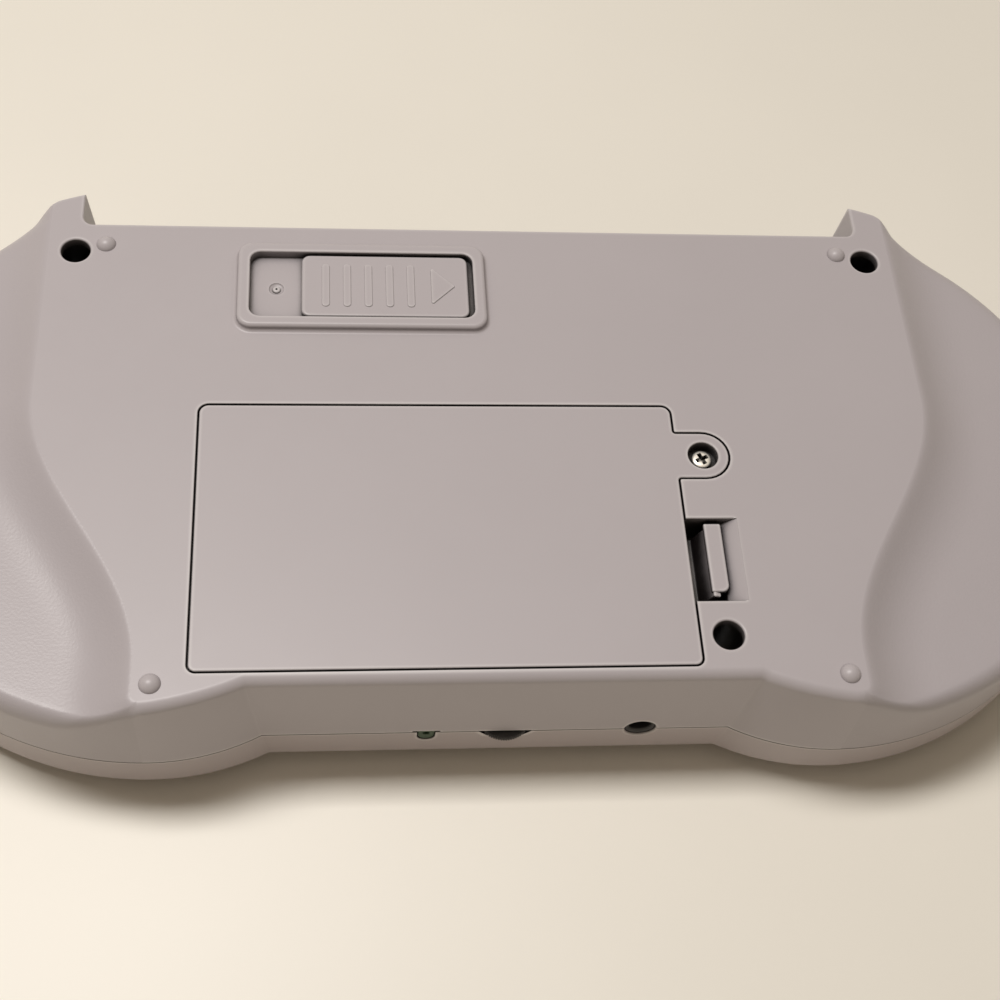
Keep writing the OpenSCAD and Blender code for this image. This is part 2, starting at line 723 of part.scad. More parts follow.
module front_shell() {
    rib = 1.2;
    color(shell_c)
    difference() {
        union() {
            difference() {
                union() {
                    skin([for (i = [0:n_all]) front_section(i)], m_front, m_front, true);
                    screen_box(lens_w + 2 * ring_w, lens_h + 2 * ring_w, 0, face_z + 0.5, 4);
                }
                space(floor_z, part_z + 1);
            }
            at_screws()
                rod(0, 0, floor_z - 0.5, post_z - 0.2, boss_r);
            difference() {
                screen_box(lcd_w + 2 * lcd_fit + 2 * rib, lcd_h + 2 * lcd_fit + 2 * rib,
                    floor_z - 0.5, lcd_z + lcd_t - 0.2, 1);
                screen_box(lcd_w + 2 * lcd_fit, lcd_h + 2 * lcd_fit, floor_z - 1, far, 0.5);
            }
            for (s = board_spots)
                rod(s[0], s[1], floor_z - 0.5, board_z, 2.6);
            both()
                rod(pin_x, pin_y, floor_z - 0.5, shoulder_z0 - 0.5, pin_boss_r);
        }
        slot_floor_cut();
        shoulder_window();
        edge_cuts();
        at_screws()
            rod(0, 0, floor_z + 0.6, far, shank_r + pin_fit);
        for (s = board_spots)
            rod(s[0], s[1], floor_z + 0.4, far, 0.9);
        both()
            rod(pin_x, pin_y, pin_z0 - 0.1, shoulder_z0, pin_r + pin_fit);
        screen_box(lens_w + 0.3, lens_h + 0.3, -1, lens_seat, 2.2);
        screen_box(lens_w - 8.5, lens_h - 7.5, 0, far, 1);
        screen_box(lcd_w + 2 * lcd_fit, lcd_h + 2 * lcd_fit, lcd_z, far, 0.5);
        translate([dpad_x, pad_y, 0]) {
            pad_cross(0.7, 0, far);
            rod(0, 0, pad_pocket_z, floor_z + 1, pad_flange_r + 1);
        }
        at_buttons()
            rod(0, 0, 0, far, button_r + button_gap);
        for (s = [-1, 1])
            translate([s * start_x, menu_y, 0])
                pill(menu_l + 2 * button_gap, menu_w + 2 * button_gap, 0, far);
        translate([knob_x, menu_y, 0])
            slab(-4.2, 4.2, -1.7, 1.7, 0, far, 0.6);
        rod(light_x, menu_y, 0, far, 1.3);
        both()
            translate([speaker_x, speaker_y, 0]) {
                rod(0, 0, 0, far, 0.8);
                for (a = [0:60:300])
                    rotate([0, 0, a]) {
                        rod(3, 0, 0, far, 0.8);
                        rotate([0, 0, 30])
                            rod(5.6, 0, 0, far, 0.8);
                    }
            }
    }
}

// Cartridge slot
well_y0 = max(window_y0 + 7.8, screen_y + lcd_h / 2 + 2.9);
slot_w = 2 * (horn_in - 1.8);
slot_z = floor_z + 2.2;
slot_mid = (slot_z + under_z) / 2;
guide_t = 0.8;
conn_w = 90;
conn_h = 8;
conn_y0 = well_y0 - 9;
conn_y1 = well_y0 + 8.8;
well_x = slot_w / 2 + guide_t;
module slot_floor_cut() {
    block(-horn_in + 0.2, horn_in - 0.2, horn_y + 1, far, slot_z, far);
}
module cartridge_well() {
    well_y1 = panel_far_y - 0.3;
    color(dark_c)
    difference() {
        union() {
            block(-well_x, well_x, well_y0, far_y - wall - 0.3, floor_z, slot_z);
            block(-well_x, well_x, well_y0, well_y0 + guide_t, floor_z, under_z - 0.1);
            both()
                block(slot_w / 2, well_x, well_y0, well_y1, floor_z, under_z - 0.1);
        }
        block(-conn_w / 2 - 0.3, conn_w / 2 + 0.3, well_y0 - 1, well_y0 + 4,
            slot_mid - conn_h / 2 - 0.3, slot_mid + conn_h / 2 + 0.3);
        at_screws()
            rod(0, 0, 0, far, post_r + post_gap);
    }
}
module cartridge_connector() {
    color(dark_c)
    difference() {
        union() {
            block(-conn_w / 2, conn_w / 2, conn_y0, conn_y1, slot_mid - conn_h / 2,
                slot_mid + conn_h / 2);
            both()
                block(conn_w / 2 - 5, conn_w / 2, conn_y0, conn_y0 + 5, board_top,
                    slot_mid - conn_h / 2 + 0.5);
        }
        block(-conn_w / 2 + 2, conn_w / 2 - 2, conn_y1 - 9, conn_y1 + 1, slot_mid - 1.3,
            slot_mid + 1.3);
    }
}
module connector_contacts() {
    color([0.80, 0.66, 0.30])
    for (k = [-12:12])
        for (s = [-1, 1])
            translate([k * 3.4, conn_y1 - 8.9, slot_mid + s * 1.15 - 0.15])
                translate([-0.5, 0, 0])
                    cube([1, 8, 0.3]);
}

module main_board() {
    board_far = conn_y0 + 5.4;
    wing_out = 19;
    wing_near = 17;
    wing_far = 17.5;
    color(board_c)
    difference() {
        union() {
            slab(-spot_x - 4, spot_x + 4, waist_y + wall + 0.5, board_far, board_z, board_top, 1);
            slab(-pad_x - wing_out, pad_x + wing_out, pad_y - wing_near, pad_y + wing_far,
                board_z, board_top, 5);
        }
        at_screws()
            rod(0, 0, 0, far, boss_r + 0.5);
        both()
            rod(pin_x, pin_y, 0, far, pin_boss_r + 0.5);
        for (s = board_spots)
            rod(s[0], s[1], 0, far, 1.2);
    }
}
module board_screws() {
    color(metal_c)
    for (s = board_spots)
        translate([s[0], s[1], board_top])
            screw(1.9, 1.2, 0.85, board_t + board_z - floor_z - 0.8);
}

module screen_lens() {
    color([0.08, 0.08, 0.10])
    screen_box(lens_w, lens_h, lens_z, lens_seat, 2);
}
module lcd_panel() {
    color([0.20, 0.22, 0.26])
    screen_box(lcd_w, lcd_h, lcd_z, lcd_z + lcd_t, 0.4);
}
module lcd_frame() {
    color(metal_c)
    difference() {
        screen_box(lcd_w, lcd_h, lcd_z + lcd_t, lcd_z + lcd_t + frame_t, 0.4);
        screen_box(lcd_w - 16, lcd_h - 16, 0, far, 2);
    }
}

module dpad() {
    color(dark_c)
    translate([dpad_x, pad_y, 0])
    difference() {
        union() {
            pad_cross(0, pad_top, pad_flange_z + 0.2);
            rod(0, 0, pad_flange_z, pad_flange_z + 0.8, pad_flange_r);
        }
        translate([0, 0, pad_top - 9.4])
            sphere(r = 10);
        translate([0, 0, ball_z])
            sphere(r = ball_r + ball_fit);
    }
}
module dpad_ball() {
    color(metal_c)
    translate([dpad_x, pad_y, ball_z])
        sphere(r = ball_r);
}
module dome(z0) {
    rod(0, 0, z0, dome_top + 0.1, 2.6);
}
module dpad_membrane() {
    color(rubber_c)
    translate([dpad_x, pad_y, 0])
    difference() {
        union() {
            rod(0, 0, dome_top, board_z, pad_flange_r + 1);
            for (a = [0, 90, 180, 270])
                rotate([0, 0, a])
                    translate([8, 0, 0])
                        dome(pad_flange_z + 0.85);
        }
        rod(0, 0, 0, far, 2.4);
    }
}

module face_button(k, c) {
    crown = 16;
    top = button_top_z;
    color(c)
    translate([face_x + button_ring * cos(90 * k), pad_y + button_ring * sin(90 * k), 0]) {
        intersection() {
            rod(0, 0, top, flange_z + 0.2, button_r);
            translate([0, 0, top + crown])
                sphere(r = crown);
        }
        rod(0, 0, flange_z, flange_top, button_r + 1.1);
    }
}
module button_right() {
    face_button(2, purple_c);
}
module button_top() {
    face_button(1, lilac_c);
}
module button_left() {
    face_button(0, lilac_c);
}
module button_bottom() {
    face_button(3, purple_c);
}
module face_membrane() {
    color(rubber_c) {
        rod(face_x, pad_y, dome_top, board_z, button_ring + button_r + 1);
        at_buttons()
            dome(flange_top + 0.05);
    }
}

module menu_button(x) {
    color(dark_c)
    translate([x, menu_y, 0]) {
        pill(menu_l, menu_w, face_z - 1.2, flange_z + 0.2);
        pill(menu_l + 1.8, menu_w + 1.6, flange_z, flange_top);
    }
}
module start_button() {
    menu_button(-start_x);
}
module select_button() {
    menu_button(start_x);
}
module menu_membrane() {
    color(rubber_c)
    translate([0, menu_y, 0]) {
        slab(-15, 15, -3, 3, dome_top, board_z, 1);
        for (s = [-1, 1])
            translate([s * start_x, 0, 0])
                rod(0, 0, flange_top + 0.05, dome_top + 0.1, 1.8);
    }
}

module power_knob() {
    x = -knob_travel / 2;
    color(dark_c)
    translate([knob_x + x, menu_y, 0]) {
        slab(-1.9, 1.9, -1.4, 1.4, face_z - 0.9, flange_z + 0.1, 0.4);
        slab(-6.4, 6.4, -2.4, 2.4, flange_z, flange_z + 0.7, 0.4);
        for (k = [-1, 0, 1])
            block(k * 1.1 - 0.25, k * 1.1 + 0.25, -1.2, 1.2, face_z - 1.3, face_z - 0.8);
    }
}
module power_switch() {
    color(metal_c)
    translate([knob_x, menu_y, 0])
        slab(-4.5, 4.5, -2, 2, flange_z + 1, board_z, 0.4);
}
module power_light() {
    color([0.55, 0.80, 0.50])
    translate([light_x, menu_y, 0]) {
        rod(0, 0, face_z - 0.3, floor_z + 0.2, 1.1);
        rod(0, 0, floor_z + 0.1, board_z, 1.8);
    }
}

module speaker(side) {
    color(dark_c)
    translate([side * speaker_x, speaker_y, 0]) {
        rod(0, 0, floor_z, floor_z + 1.3, speaker_r);
        rod(0, 0, floor_z + 1, floor_z + 4.4, speaker_r - 3.5);
    }
}
module speaker_left() {
    speaker(1);
}
module speaker_right() {
    speaker(-1);
}

module volume_wheel() {
    teeth = 30;
    color(dark_c)
    translate([wheel_x, wheel_y, 0])
    difference() {
        rod(0, 0, wheel_z0, wheel_z1, wheel_r);
        rod(0, 0, 0, far, 1.5);
        for (k = [0:teeth - 1])
            rotate([0, 0, 360 * k / teeth])
                rod(wheel_r + 0.12, 0, 0, far, 0.34);
    }
}
module volume_pot() {
    color(metal_c) {
        block(wheel_x - 2.6, wheel_x + 2.6, jack_y, wheel_y + 3.8, board_top, wheel_z0 - 0.2);
        rod(wheel_x, wheel_y, board_top, wheel_z1 - 0.1, 1.2);
    }
}

module headphone_jack() {
    color(dark_c)
    difference() {
        union() {
            block(phone_x - 3.2, phone_x + 3.2, jack_y, jack_y + jack_l, board_top, phone_z + 2.5);
            along_y(phone_x, phone_z, collar_y, jack_y + 1, collar_r);
        }
        along_y(phone_x, phone_z, collar_y - 1, collar_y + 12, phone_r);
    }
}
module power_jack() {
    color([0.07, 0.20, 0.14]) {
        difference() {
            block(power_x - 3.4, power_x + 3.4, jack_y, jack_y + 10.5, board_top, power_z + 2.7);
            along_y(power_x, power_z, jack_y - 1, jack_y + 8, 1.65);
        }
        along_y(power_x, power_z, jack_y + 1, jack_y + 9, 0.55);
    }
}

module battery_pack() {
    color([0.22, 0.30, 0.42])
    slab(bay_x0 + contact_l + 0.2, bay_x1 - 2.2, bay_y0 + 2, bay_y1 - 2, bay_floor_z + 0.2,
        panel_z - cover_t - 0.7, 3);
}
module battery_contacts() {
    top = hook_z0 - 1.3;
    mid = (bay_floor_z + top) / 2;
    color([0.80, 0.66, 0.30])
    for (k = [-1:1])
        translate([0, (bay_y0 + bay_y1) / 2 + k * contact_pitch, 0]) {
            block(bay_x0, bay_x0 + 0.4, -2, 2, bay_floor_z, top);
            block(bay_x0 + 0.3, bay_x0 + contact_l, -1, 1, mid, mid + 0.6);
        }
}

// Plan of a ring sector about the right grip's centre
module sector_plan(r0, r1, a0, a1) {
    translate([grip_x, grip_y])
        intersection() {
            difference() {
                circle(r = r1);
                circle(r = r0);
            }
            polygon([[0, 0], far * [cos(a0), sin(a0)], far * [cos(a1), sin(a1)]]);
        }
}
module shoulder_button(s) {
    r0 = grip_r - 3.4;
    color(lilac_c)
    mirror([s < 0 ? 1 : 0, 0, 0])
    translate([0, 0, shoulder_z0])
    linear_extrude(shoulder_z1 - shoulder_z0)
    difference() {
        union() {
            sector_plan(r0, grip_r + shoulder_out, shoulder_a0, shoulder_a1);
            sector_plan(grip_r - 5, r0 + 0.6, shoulder_a0 + 12, shoulder_a1 + 2.4);
            sector_plan(pin_ring - 1.5, r0 + 0.5, pin_a - 1.2, pin_a + 3.4);
            translate([pin_x, pin_y])
                circle(r = pin_boss_r);
        }
        translate([pin_x, pin_y])
            circle(r = pin_r + pin_run);
    }
}
module shoulder_left() {
    shoulder_button(1);
}
module shoulder_right() {
    shoulder_button(-1);
}
module shoulder_pins() {
    color(metal_c)
    for (s = [-1, 1])
        rod(s * pin_x, pin_y, pin_z0, pin_z1, pin_r);
}
module shoulder_switch(s) {
    a = shoulder_a1 - 12;
    color(board_c)
    mirror([s < 0 ? 1 : 0, 0, 0])
    translate([grip_x, grip_y, 0])
        rotate([0, 0, a]) {
            block(switch_r - 4, switch_r - 2.8, -4, 4, floor_z, part_z + 6);
            block(switch_r - 3, switch_r + 0.2, -3, 3, part_z - 2, part_z + 4);
            translate([switch_r, 0, part_z + 1])
                rotate([0, 90, 0])
                    cylinder(h = 3.1, r = 1.6);
        }
}
module shoulder_switch_left() {
    shoulder_switch(1);
}
module shoulder_switch_right() {
    shoulder_switch(-1);
}

rear_shell();
front_shell();
battery_cover();
cover_screw();
rear_slide();
slide_clip();
case_screws();
battery_pack();
battery_contacts();
cartridge_well();
cartridge_connector();
connector_contacts();
main_board();
board_screws();
screen_lens();
lcd_panel();
lcd_frame();
dpad();
dpad_ball();
dpad_membrane();
button_top();
button_right();
button_bottom();
button_left();
face_membrane();
start_button();
select_button();
menu_membrane();
power_knob();
power_switch();
power_light();
speaker_left();
speaker_right();
volume_wheel();
volume_pot();
headphone_jack();
power_jack();
shoulder_left();
shoulder_right();
shoulder_pins();
shoulder_switch_left();
shoulder_switch_right();
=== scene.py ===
"""A handheld game console lying on its face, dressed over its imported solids.

Sizes are in millimetres. X runs to the right, Y away from the near edge, Z up from the table.
"""

from collections import namedtuple
from math import acos, asin, cos, pi, radians, sin, sqrt, tan

import bmesh
import bpy
from mathutils import Matrix, Vector


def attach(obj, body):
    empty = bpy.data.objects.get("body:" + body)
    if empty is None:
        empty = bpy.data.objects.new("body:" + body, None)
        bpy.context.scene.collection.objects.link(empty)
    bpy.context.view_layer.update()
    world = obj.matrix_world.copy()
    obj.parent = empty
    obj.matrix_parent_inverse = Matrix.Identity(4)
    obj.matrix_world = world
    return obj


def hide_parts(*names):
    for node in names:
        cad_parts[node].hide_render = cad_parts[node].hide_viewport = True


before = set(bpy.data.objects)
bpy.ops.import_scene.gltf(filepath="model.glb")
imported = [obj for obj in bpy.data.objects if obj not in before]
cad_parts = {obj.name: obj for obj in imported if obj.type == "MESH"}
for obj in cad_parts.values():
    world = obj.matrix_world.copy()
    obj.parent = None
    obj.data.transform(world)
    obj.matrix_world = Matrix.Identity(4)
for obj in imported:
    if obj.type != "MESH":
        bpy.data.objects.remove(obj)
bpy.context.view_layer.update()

MM = 0.001

# Outline of the case
GRIP_X = 57
GRIP_R = 53.1
BEND_R = 39
WAIST_IN = 4.4
HORN_OUT = 15.3
WALL = 2.2

# Heights
FACE_Z = 2.6
PART_Z = 11.6
PANEL_Z = 30
PANEL_T = 2.5
GRIP_DROP = 4.5
FRONT_R = 2
CORNER_R = 1.8
NEAR_RIM_R = 3.6
FAR_RIM_R = 5
WAIST_R = 1.8
HORN_R = 0.45
WAIST_SLANT = 1
GRIP_SLANT = 1
BEND_SLANT = 0.5
CORNER_LEAN = 1.9
GROOVE = 0.14
GROOVE_IN = 0.45

# Panel edge and the cove beside it
EDGE_NEAR = 1.2
EDGE_FAR = 20.8
EDGE_START = 9.3
EDGE_RUN = 50.4
EDGE_STOP = 3.1
EDGE_ROUND = 1.4
COVE_W = 12
COVE_P = 2.5
COVE_CROWD = 2.2
CORNER_SHARE = 0.08

# Screws and feet
FAR_SCREW_OUT = 0.7
FAR_SCREW_IN = 6.2
NEAR_SCREW_X = 36.4
NEAR_SCREW_IN = 8.4
WELL_R = 2.6
WELL_FLARE = 0.55
WELL_LIP = 1.8
POST_WALL = 1
SHANK_R = 1.25
SHANK_PLAY = 0.25
FOOT_R = 1.85
FOOT_H = 1.2

# Battery cover
COVER_X0 = -49.8
COVER_X1 = 31.55
COVER_IN = 3.2
COVER_D = 49.7
COVER_T = 2
COVER_GAP = 0.4
SEAM = 0.3
EAR_OUT = 4.85
EAR_IN = 10.1
EAR_R = 4.5
EAR_T = 3.4
EAR_WEB = 1
BORE_R = 2.65
COVER_NEAR_R = 1.2
COVER_FAR_R = 1.6
COVER_ROOT_R = 0.6
BAY_FLOOR_Z = 16.3
BAY_WALL = 1.5
HOOK_W = 6
HOOK_T = 1.1
LATCH_L = 15.6
LATCH_W = 8.75
LATCH_D = 6.8
LATCH_WALL = 1.5
LATCH_FLOOR = 4.2
LATCH_BREAK = 5.7
LATCH_BREAK_D = 2.3

# Rear slide
WINDOW_X0 = -41.9
WINDOW_X1 = -1.8
WINDOW_W = 14.5
WINDOW_IN = 7
FRAME_H = 1.5
SLIDE_L = 30
SLIDE_T = 1
FRAME_W = 2.2
RIBS = 5
RIB_H = 0.18
DIMPLE_IN = 4.7
DIMPLE_R = 1.35
DIMPLE_D = 0.4

# Front face
LENS_W = 80
LENS_H = 61
SCREEN_IN = 15.1
RING_W = 3.4
PAD_OUT = 21
PAD_UP = 4.9
PAD_L = 23
PAD_W = 8
BUTTON_R = 5.2
BUTTON_RING = 10.5
MENU_IN = 8.3
MENU_X = 8
MENU_L = 9
MENU_W = 3.6
KNOB_X = 23
LIGHT_X = -25
SPEAKER_OUT = 7
SPEAKER_IN = 21
KEY_PLAY = 0.3
KEY_FLANGE_T = 0.9
PAD_PLAY = 0.7

# Edge controls
PHONE_X = 24
PHONE_R = 1.8
PHONE_HOLE_R = PHONE_R + 0.85
PHONE_COLLAR_R = PHONE_R + 0.8
PHONE_SUNK = 0.35
PHONE_DEPTH = 12
POWER_X = -12
POWER_SUNK = 0.2
POWER_DEPTH = 8
POWER_BORE_R = 0.55
POWER_PIN_R = 0.25
WHEEL_X = 1.2
WHEEL_R = 5.5
WHEEL_OUT = 1.7
WHEEL_SHOWN_R = WHEEL_R - 0.5
WHEEL_SLOT_R = WHEEL_R - 0.2
WHEEL_TEETH = 72
SHOULDER_A0 = 34
SHOULDER_A1 = 62

# How finely the shells are built
N_BEND = 14
N_GRIP = 150
N_HORN = 6
N_COVE = 26
ROUND_STEPS = 8
SMOOTH_ANGLE = radians(32)
FAR = 80

# Derived places
HORN_X = GRIP_X + HORN_OUT
HORN_IN = HORN_X - 2.1
EDGE_NEAR_X = GRIP_X + EDGE_NEAR
EDGE_FAR_X = GRIP_X + EDGE_FAR
HORN_A = acos(HORN_OUT / GRIP_R)
EDGE_A = acos(EDGE_FAR / GRIP_R)
BEND_A = acos(1 - WAIST_IN / BEND_R)
GRIP_Y = GRIP_R * (1 - sin(HORN_A)) / 2
GRIP = Vector((GRIP_X, GRIP_Y))
NEAR_Y = GRIP_Y - GRIP_R
FAR_Y = GRIP_Y + GRIP_R * sin(HORN_A)
WAIST_Y = NEAR_Y + WAIST_IN
PANEL_FAR_Y = FAR_Y - 7.1
HORN_Y = FAR_Y - 8.6
EDGE_Y0 = NEAR_Y + EDGE_START
CORNER = Vector((GRIP_X, NEAR_Y + GRIP_SLANT + CORNER_R + EDGE_NEAR))
FLOOR_Z = FACE_Z + WALL
UNDER_Z = PANEL_Z - PANEL_T
GRIP_UNDER_Z = PANEL_Z - GRIP_DROP - WALL - 0.2
SLOT_Z = FLOOR_Z + WALL
POST_Z = PART_Z + 1.1
SEAT_Z = POST_Z + 1.5
WELL = [(SEAT_Z, WELL_FLARE), (PANEL_Z - WELL_LIP - 0.6, WELL_FLARE), (PANEL_Z - WELL_LIP, 0)]
SCREWS = [(s * x, y) for s in (1, -1) for x, y in (
    (HORN_X + FAR_SCREW_OUT, PANEL_FAR_Y - FAR_SCREW_IN),
    (NEAR_SCREW_X, WAIST_Y + NEAR_SCREW_IN))]
FEET = [(s * x, y) for s in (1, -1) for x, y in (
    (HORN_X - 4.6, PANEL_FAR_Y - 4.7), (EDGE_NEAR_X - 2.8, NEAR_Y + 5.6))]
COVER_Y0 = WAIST_Y + COVER_IN
COVER_Y1 = COVER_Y0 + COVER_D
COVER_Z0 = PANEL_Z - COVER_T
EAR_X = COVER_X1 + EAR_OUT
EAR_Y = COVER_Y1 - EAR_IN
EAR_Z0 = PANEL_Z - EAR_T
BAY_X0 = COVER_X0 + 1.2
BAY_X1 = COVER_X1 - 1.25
BAY_Y0 = COVER_Y0 + 1.25
BAY_Y1 = COVER_Y1 - 1.2
HOOKS = [COVER_Y0 + 9, COVER_Y1 - 15]
HOOK_Z1 = UNDER_Z - 0.8
HOOK_Z0 = HOOK_Z1 - HOOK_T
LATCH_X0 = COVER_X1 + COVER_GAP
LATCH_X1 = LATCH_X0 + LATCH_W
LATCH_Y0 = COVER_Y0 + 11.4
LATCH_Y1 = LATCH_Y0 + LATCH_L
LATCH_Z = PANEL_Z - LATCH_D
CLIP_Y0 = LATCH_Y0 + 1.2
CLIP_Y1 = LATCH_Y1 - 1.2
WINDOW_Y1 = PANEL_FAR_Y - WINDOW_IN
WINDOW_Y0 = WINDOW_Y1 - WINDOW_W
WINDOW_MID = (WINDOW_Y0 + WINDOW_Y1) / 2
WINDOW_Z = PANEL_Z - 0.3
SLIDE_X1 = WINDOW_X1 - 0.9
SLIDE_X0 = SLIDE_X1 - SLIDE_L
SLIDE_Z1 = PANEL_Z + SLIDE_T
SCREEN_Y = WAIST_Y + SCREEN_IN + LENS_H / 2
PAD_X = GRIP_X + PAD_OUT
PAD_Y = GRIP_Y + PAD_UP
MENU_Y = WAIST_Y + MENU_IN
WHEEL_Y = WAIST_Y - WHEEL_OUT + WHEEL_R
WHEEL_Z0 = PART_Z - 1.95
WHEEL_Z1 = WHEEL_Z0 + 1.6
POWER_Z = PART_Z - 0.5
POWER_BORE_Z = POWER_Z - 0.4
JACK_Y = WAIST_Y + WALL + 0.2
BOARD_TOP = 9.1

Station = namedtuple("Station", "point inward radius edge slant limit")


def mix(a, b, share):
    return a + (b - a) * share


def clip01(t):
    return max(0, min(1, t))


def ease(t):
    return (1 - cos(pi * clip01(t))) / 2


def quarter(steps=ROUND_STEPS):
    """Angles over a quarter turn."""
    return [pi / 2 * k / steps for k in range(steps + 1)]


def direction(a):
    return Vector((cos(a), sin(a)))


# Materials

def srgb(r, g, b):
    """A written colour of 0 to 255 as linear light."""
    def linear(c):
        c = c / 255
        return c / 12.92 if c < 0.04 else ((c + 0.055) / 1.055) ** 2.4
    return linear(r), linear(g), linear(b), 1


def new_material(name):
    made = bpy.data.materials.new(name)
    made.use_nodes = True
    tree = made.node_tree
    where = tree.nodes.new("ShaderNodeTexCoord").outputs["Object"]
    return made, tree, tree.nodes["Principled BSDF"], where


def noise(tree, where, size, detail=2.0, rough=0.55):
    """Cloudy noise whose features are about size millimetres across."""
    node = tree.nodes.new("ShaderNodeTexNoise")
    node.inputs["Scale"].default_value = 1 / (size * MM)
    node.inputs["Detail"].default_value = detail
    node.inputs["Roughness"].default_value = rough
    tree.links.new(where, node.inputs["Vector"])
    return node.outputs["Fac"]


def ramp(tree, value, low, high):
    """Colour that follows a value between two ends, each a place and a colour."""
    node = tree.nodes.new("ShaderNodeValToRGB")
    for end, (place, colour) in zip(node.color_ramp.elements, (low, high)):
        end.position = place
        end.color = colour
    tree.links.new(value, node.inputs["Fac"])
    return node.outputs["Color"]


def tint(tree, value, socket, colour, spread):
    """Colour that drifts round the written one as the value goes from low to high."""
    dark = [c * (1 - spread) for c in colour[:3]] + [1]
    light = [c * (1 + spread) for c in colour[:3]] + [1]
    tree.links.new(ramp(tree, value, (0.3, dark), (0.7, light)), socket)


def level(tree, value, socket, low, high):
    node = tree.nodes.new("ShaderNodeMapRange")
    node.inputs["To Min"].default_value = low
    node.inputs["To Max"].default_value = high
    tree.links.new(value, node.inputs["Value"])
    tree.links.new(node.outputs["Result"], socket)


def bump(tree, value, shader, depth):
    """Relief of that many millimetres."""
    node = tree.nodes.new("ShaderNodeBump")
    node.inputs["Strength"].default_value = 1
    node.inputs["Distance"].default_value = depth * MM
    tree.links.new(value, node.inputs["Height"])
    tree.links.new(node.outputs["Normal"], shader.inputs["Normal"])


def math_node(tree, operation, *values):
    node = tree.nodes.new("ShaderNodeMath")
    node.operation = operation
    for socket, value in zip(node.inputs, values):
        if isinstance(value, (int, float)):
            socket.default_value = value
        else:
            tree.links.new(value, socket)
    return node.outputs["Value"]


def blend_base(tree, shader, colour, kind):
    blend = tree.nodes.new("ShaderNodeMix")
    blend.data_type = "RGBA"
    blend.blend_type = kind
    blend.inputs["Factor"].default_value = 1
    base = shader.inputs["Base Color"]
    tree.links.new(base.links[0].from_socket, blend.inputs["A"])
    tree.links.new(colour, blend.inputs["B"])
    tree.links.new(blend.outputs["Result"], base)


def openness(tree, reach):
    """A node for how open the space is within a reach in millimetres."""
    node = tree.nodes.new("ShaderNodeAmbientOcclusion")
    node.samples = 8
    node.inputs["Distance"].default_value = reach * MM
    return node


def painted_shade(tree, shader, reach):
    """Painted shade: darkens the colour in gaps and holes that are narrower than the reach in
    millimetres.
    """
    sky = openness(tree, reach).outputs["AO"]
    shade = ramp(tree, sky, (0.35, srgb(26, 21, 21)), (0.8, srgb(255, 255, 255)))
    blend_base(tree, shader, shade, "MULTIPLY")


def painted_edge_highlight(tree, shader, reach):
    """Painted highlight: lightens the colour along outer edges that are sharper than the reach in
    millimetres.
    """
    under = openness(tree, reach)
    under.inside = True
    under.only_local = True
    shine = ramp(tree, under.outputs["AO"], (0.6, srgb(160, 158, 155)), (0.97, srgb(0, 0, 0)))
    blend_base(tree, shader, shine, "SCREEN")


def moulded(name, colour, rough=0.5, spread=0.05, grain=0.3, depth=0.01, metal=0.0, shade_reach=0):
    """Moulded plastic, rubber or metal: drifting colour, uneven gloss and a fine grain."""
    drift = 30
    patch = 5
    uneven = 0.04
    highlight_reach = 0.7
    made, tree, shader, where = new_material(name)
    shader.inputs["Metallic"].default_value = metal
    tint(tree, noise(tree, where, drift, 4), shader.inputs["Base Color"], colour, spread)
    # Painted highlight on outer edges and painted shade in gaps and holes.
    if shade_reach:
        painted_edge_highlight(tree, shader, highlight_reach)
        painted_shade(tree, shader, shade_reach)
    grit = noise(tree, where, grain)
    level(tree, noise(tree, where, patch, 3), shader.inputs["Roughness"], rough - uneven, rough + uneven)
    bump(tree, grit, shader, depth)
    return made


def board_look():
    """Solder mask with rows of copper traces showing through."""
    made, tree, shader, where = new_material("board_green")
    trace = tree.nodes.new("ShaderNodeTexBrick")
    trace.inputs["Color1"].default_value = srgb(18, 74, 46)
    trace.inputs["Color2"].default_value = srgb(22, 84, 52)
    trace.inputs["Mortar"].default_value = srgb(60, 122, 70)
    trace.inputs["Scale"].default_value = 1 / (8 * MM)
    trace.inputs["Mortar Size"].default_value = 0.05
    tree.links.new(where, trace.inputs["Vector"])
    tree.links.new(trace.outputs["Color"], shader.inputs["Base Color"])
    level(tree, noise(tree, where, 3), shader.inputs["Roughness"], 0.25, 0.4)
    bump(tree, trace.outputs["Fac"], shader, 0.03)
    return made


def lens_look():
    """Dark glossy lens with a printed black border round its window."""
    made, tree, shader, where = new_material("lens_dark")
    split = tree.nodes.new("ShaderNodeSeparateXYZ")
    tree.links.new(where, split.inputs["Vector"])
    reach = []
    for axis, middle, half in (("X", 0, LENS_W / 2 - 6), ("Y", SCREEN_Y, LENS_H / 2 - 5.5)):
        shift = math_node(tree, "SUBTRACT", split.outputs[axis], middle * MM)
        reach.append(math_node(tree, "DIVIDE", math_node(tree, "ABSOLUTE", shift), half * MM))
    border = math_node(tree, "MAXIMUM", *reach)
    share = math_node(tree, "MULTIPLY", border, 0.999)
    face = ramp(tree, share, (0, srgb(52, 56, 60)), (1, srgb(10, 10, 12)))
    face.node.color_ramp.interpolation = "CONSTANT"
    tree.links.new(face, shader.inputs["Base Color"])
    level(tree, noise(tree, where, 9, 3), shader.inputs["Roughness"], 0.05, 0.12)
    shader.inputs["Coat Weight"].default_value = 0.5
    return made


def lcd_look():
    """Dark panel with its grid of picture cells."""
    made, tree, shader, where = new_material("lcd_cells")
    cell = tree.nodes.new("ShaderNodeTexChecker")
    cell.inputs["Color1"].default_value = srgb(44, 50, 54)
    cell.inputs["Color2"].default_value = srgb(36, 42, 46)
    cell.inputs["Scale"].default_value = 1 / (0.5 * MM)
    tree.links.new(where, cell.inputs["Vector"])
    tree.links.new(cell.outputs["Color"], shader.inputs["Base Color"])
    level(tree, noise(tree, where, 12), shader.inputs["Roughness"], 0.15, 0.25)
    return made
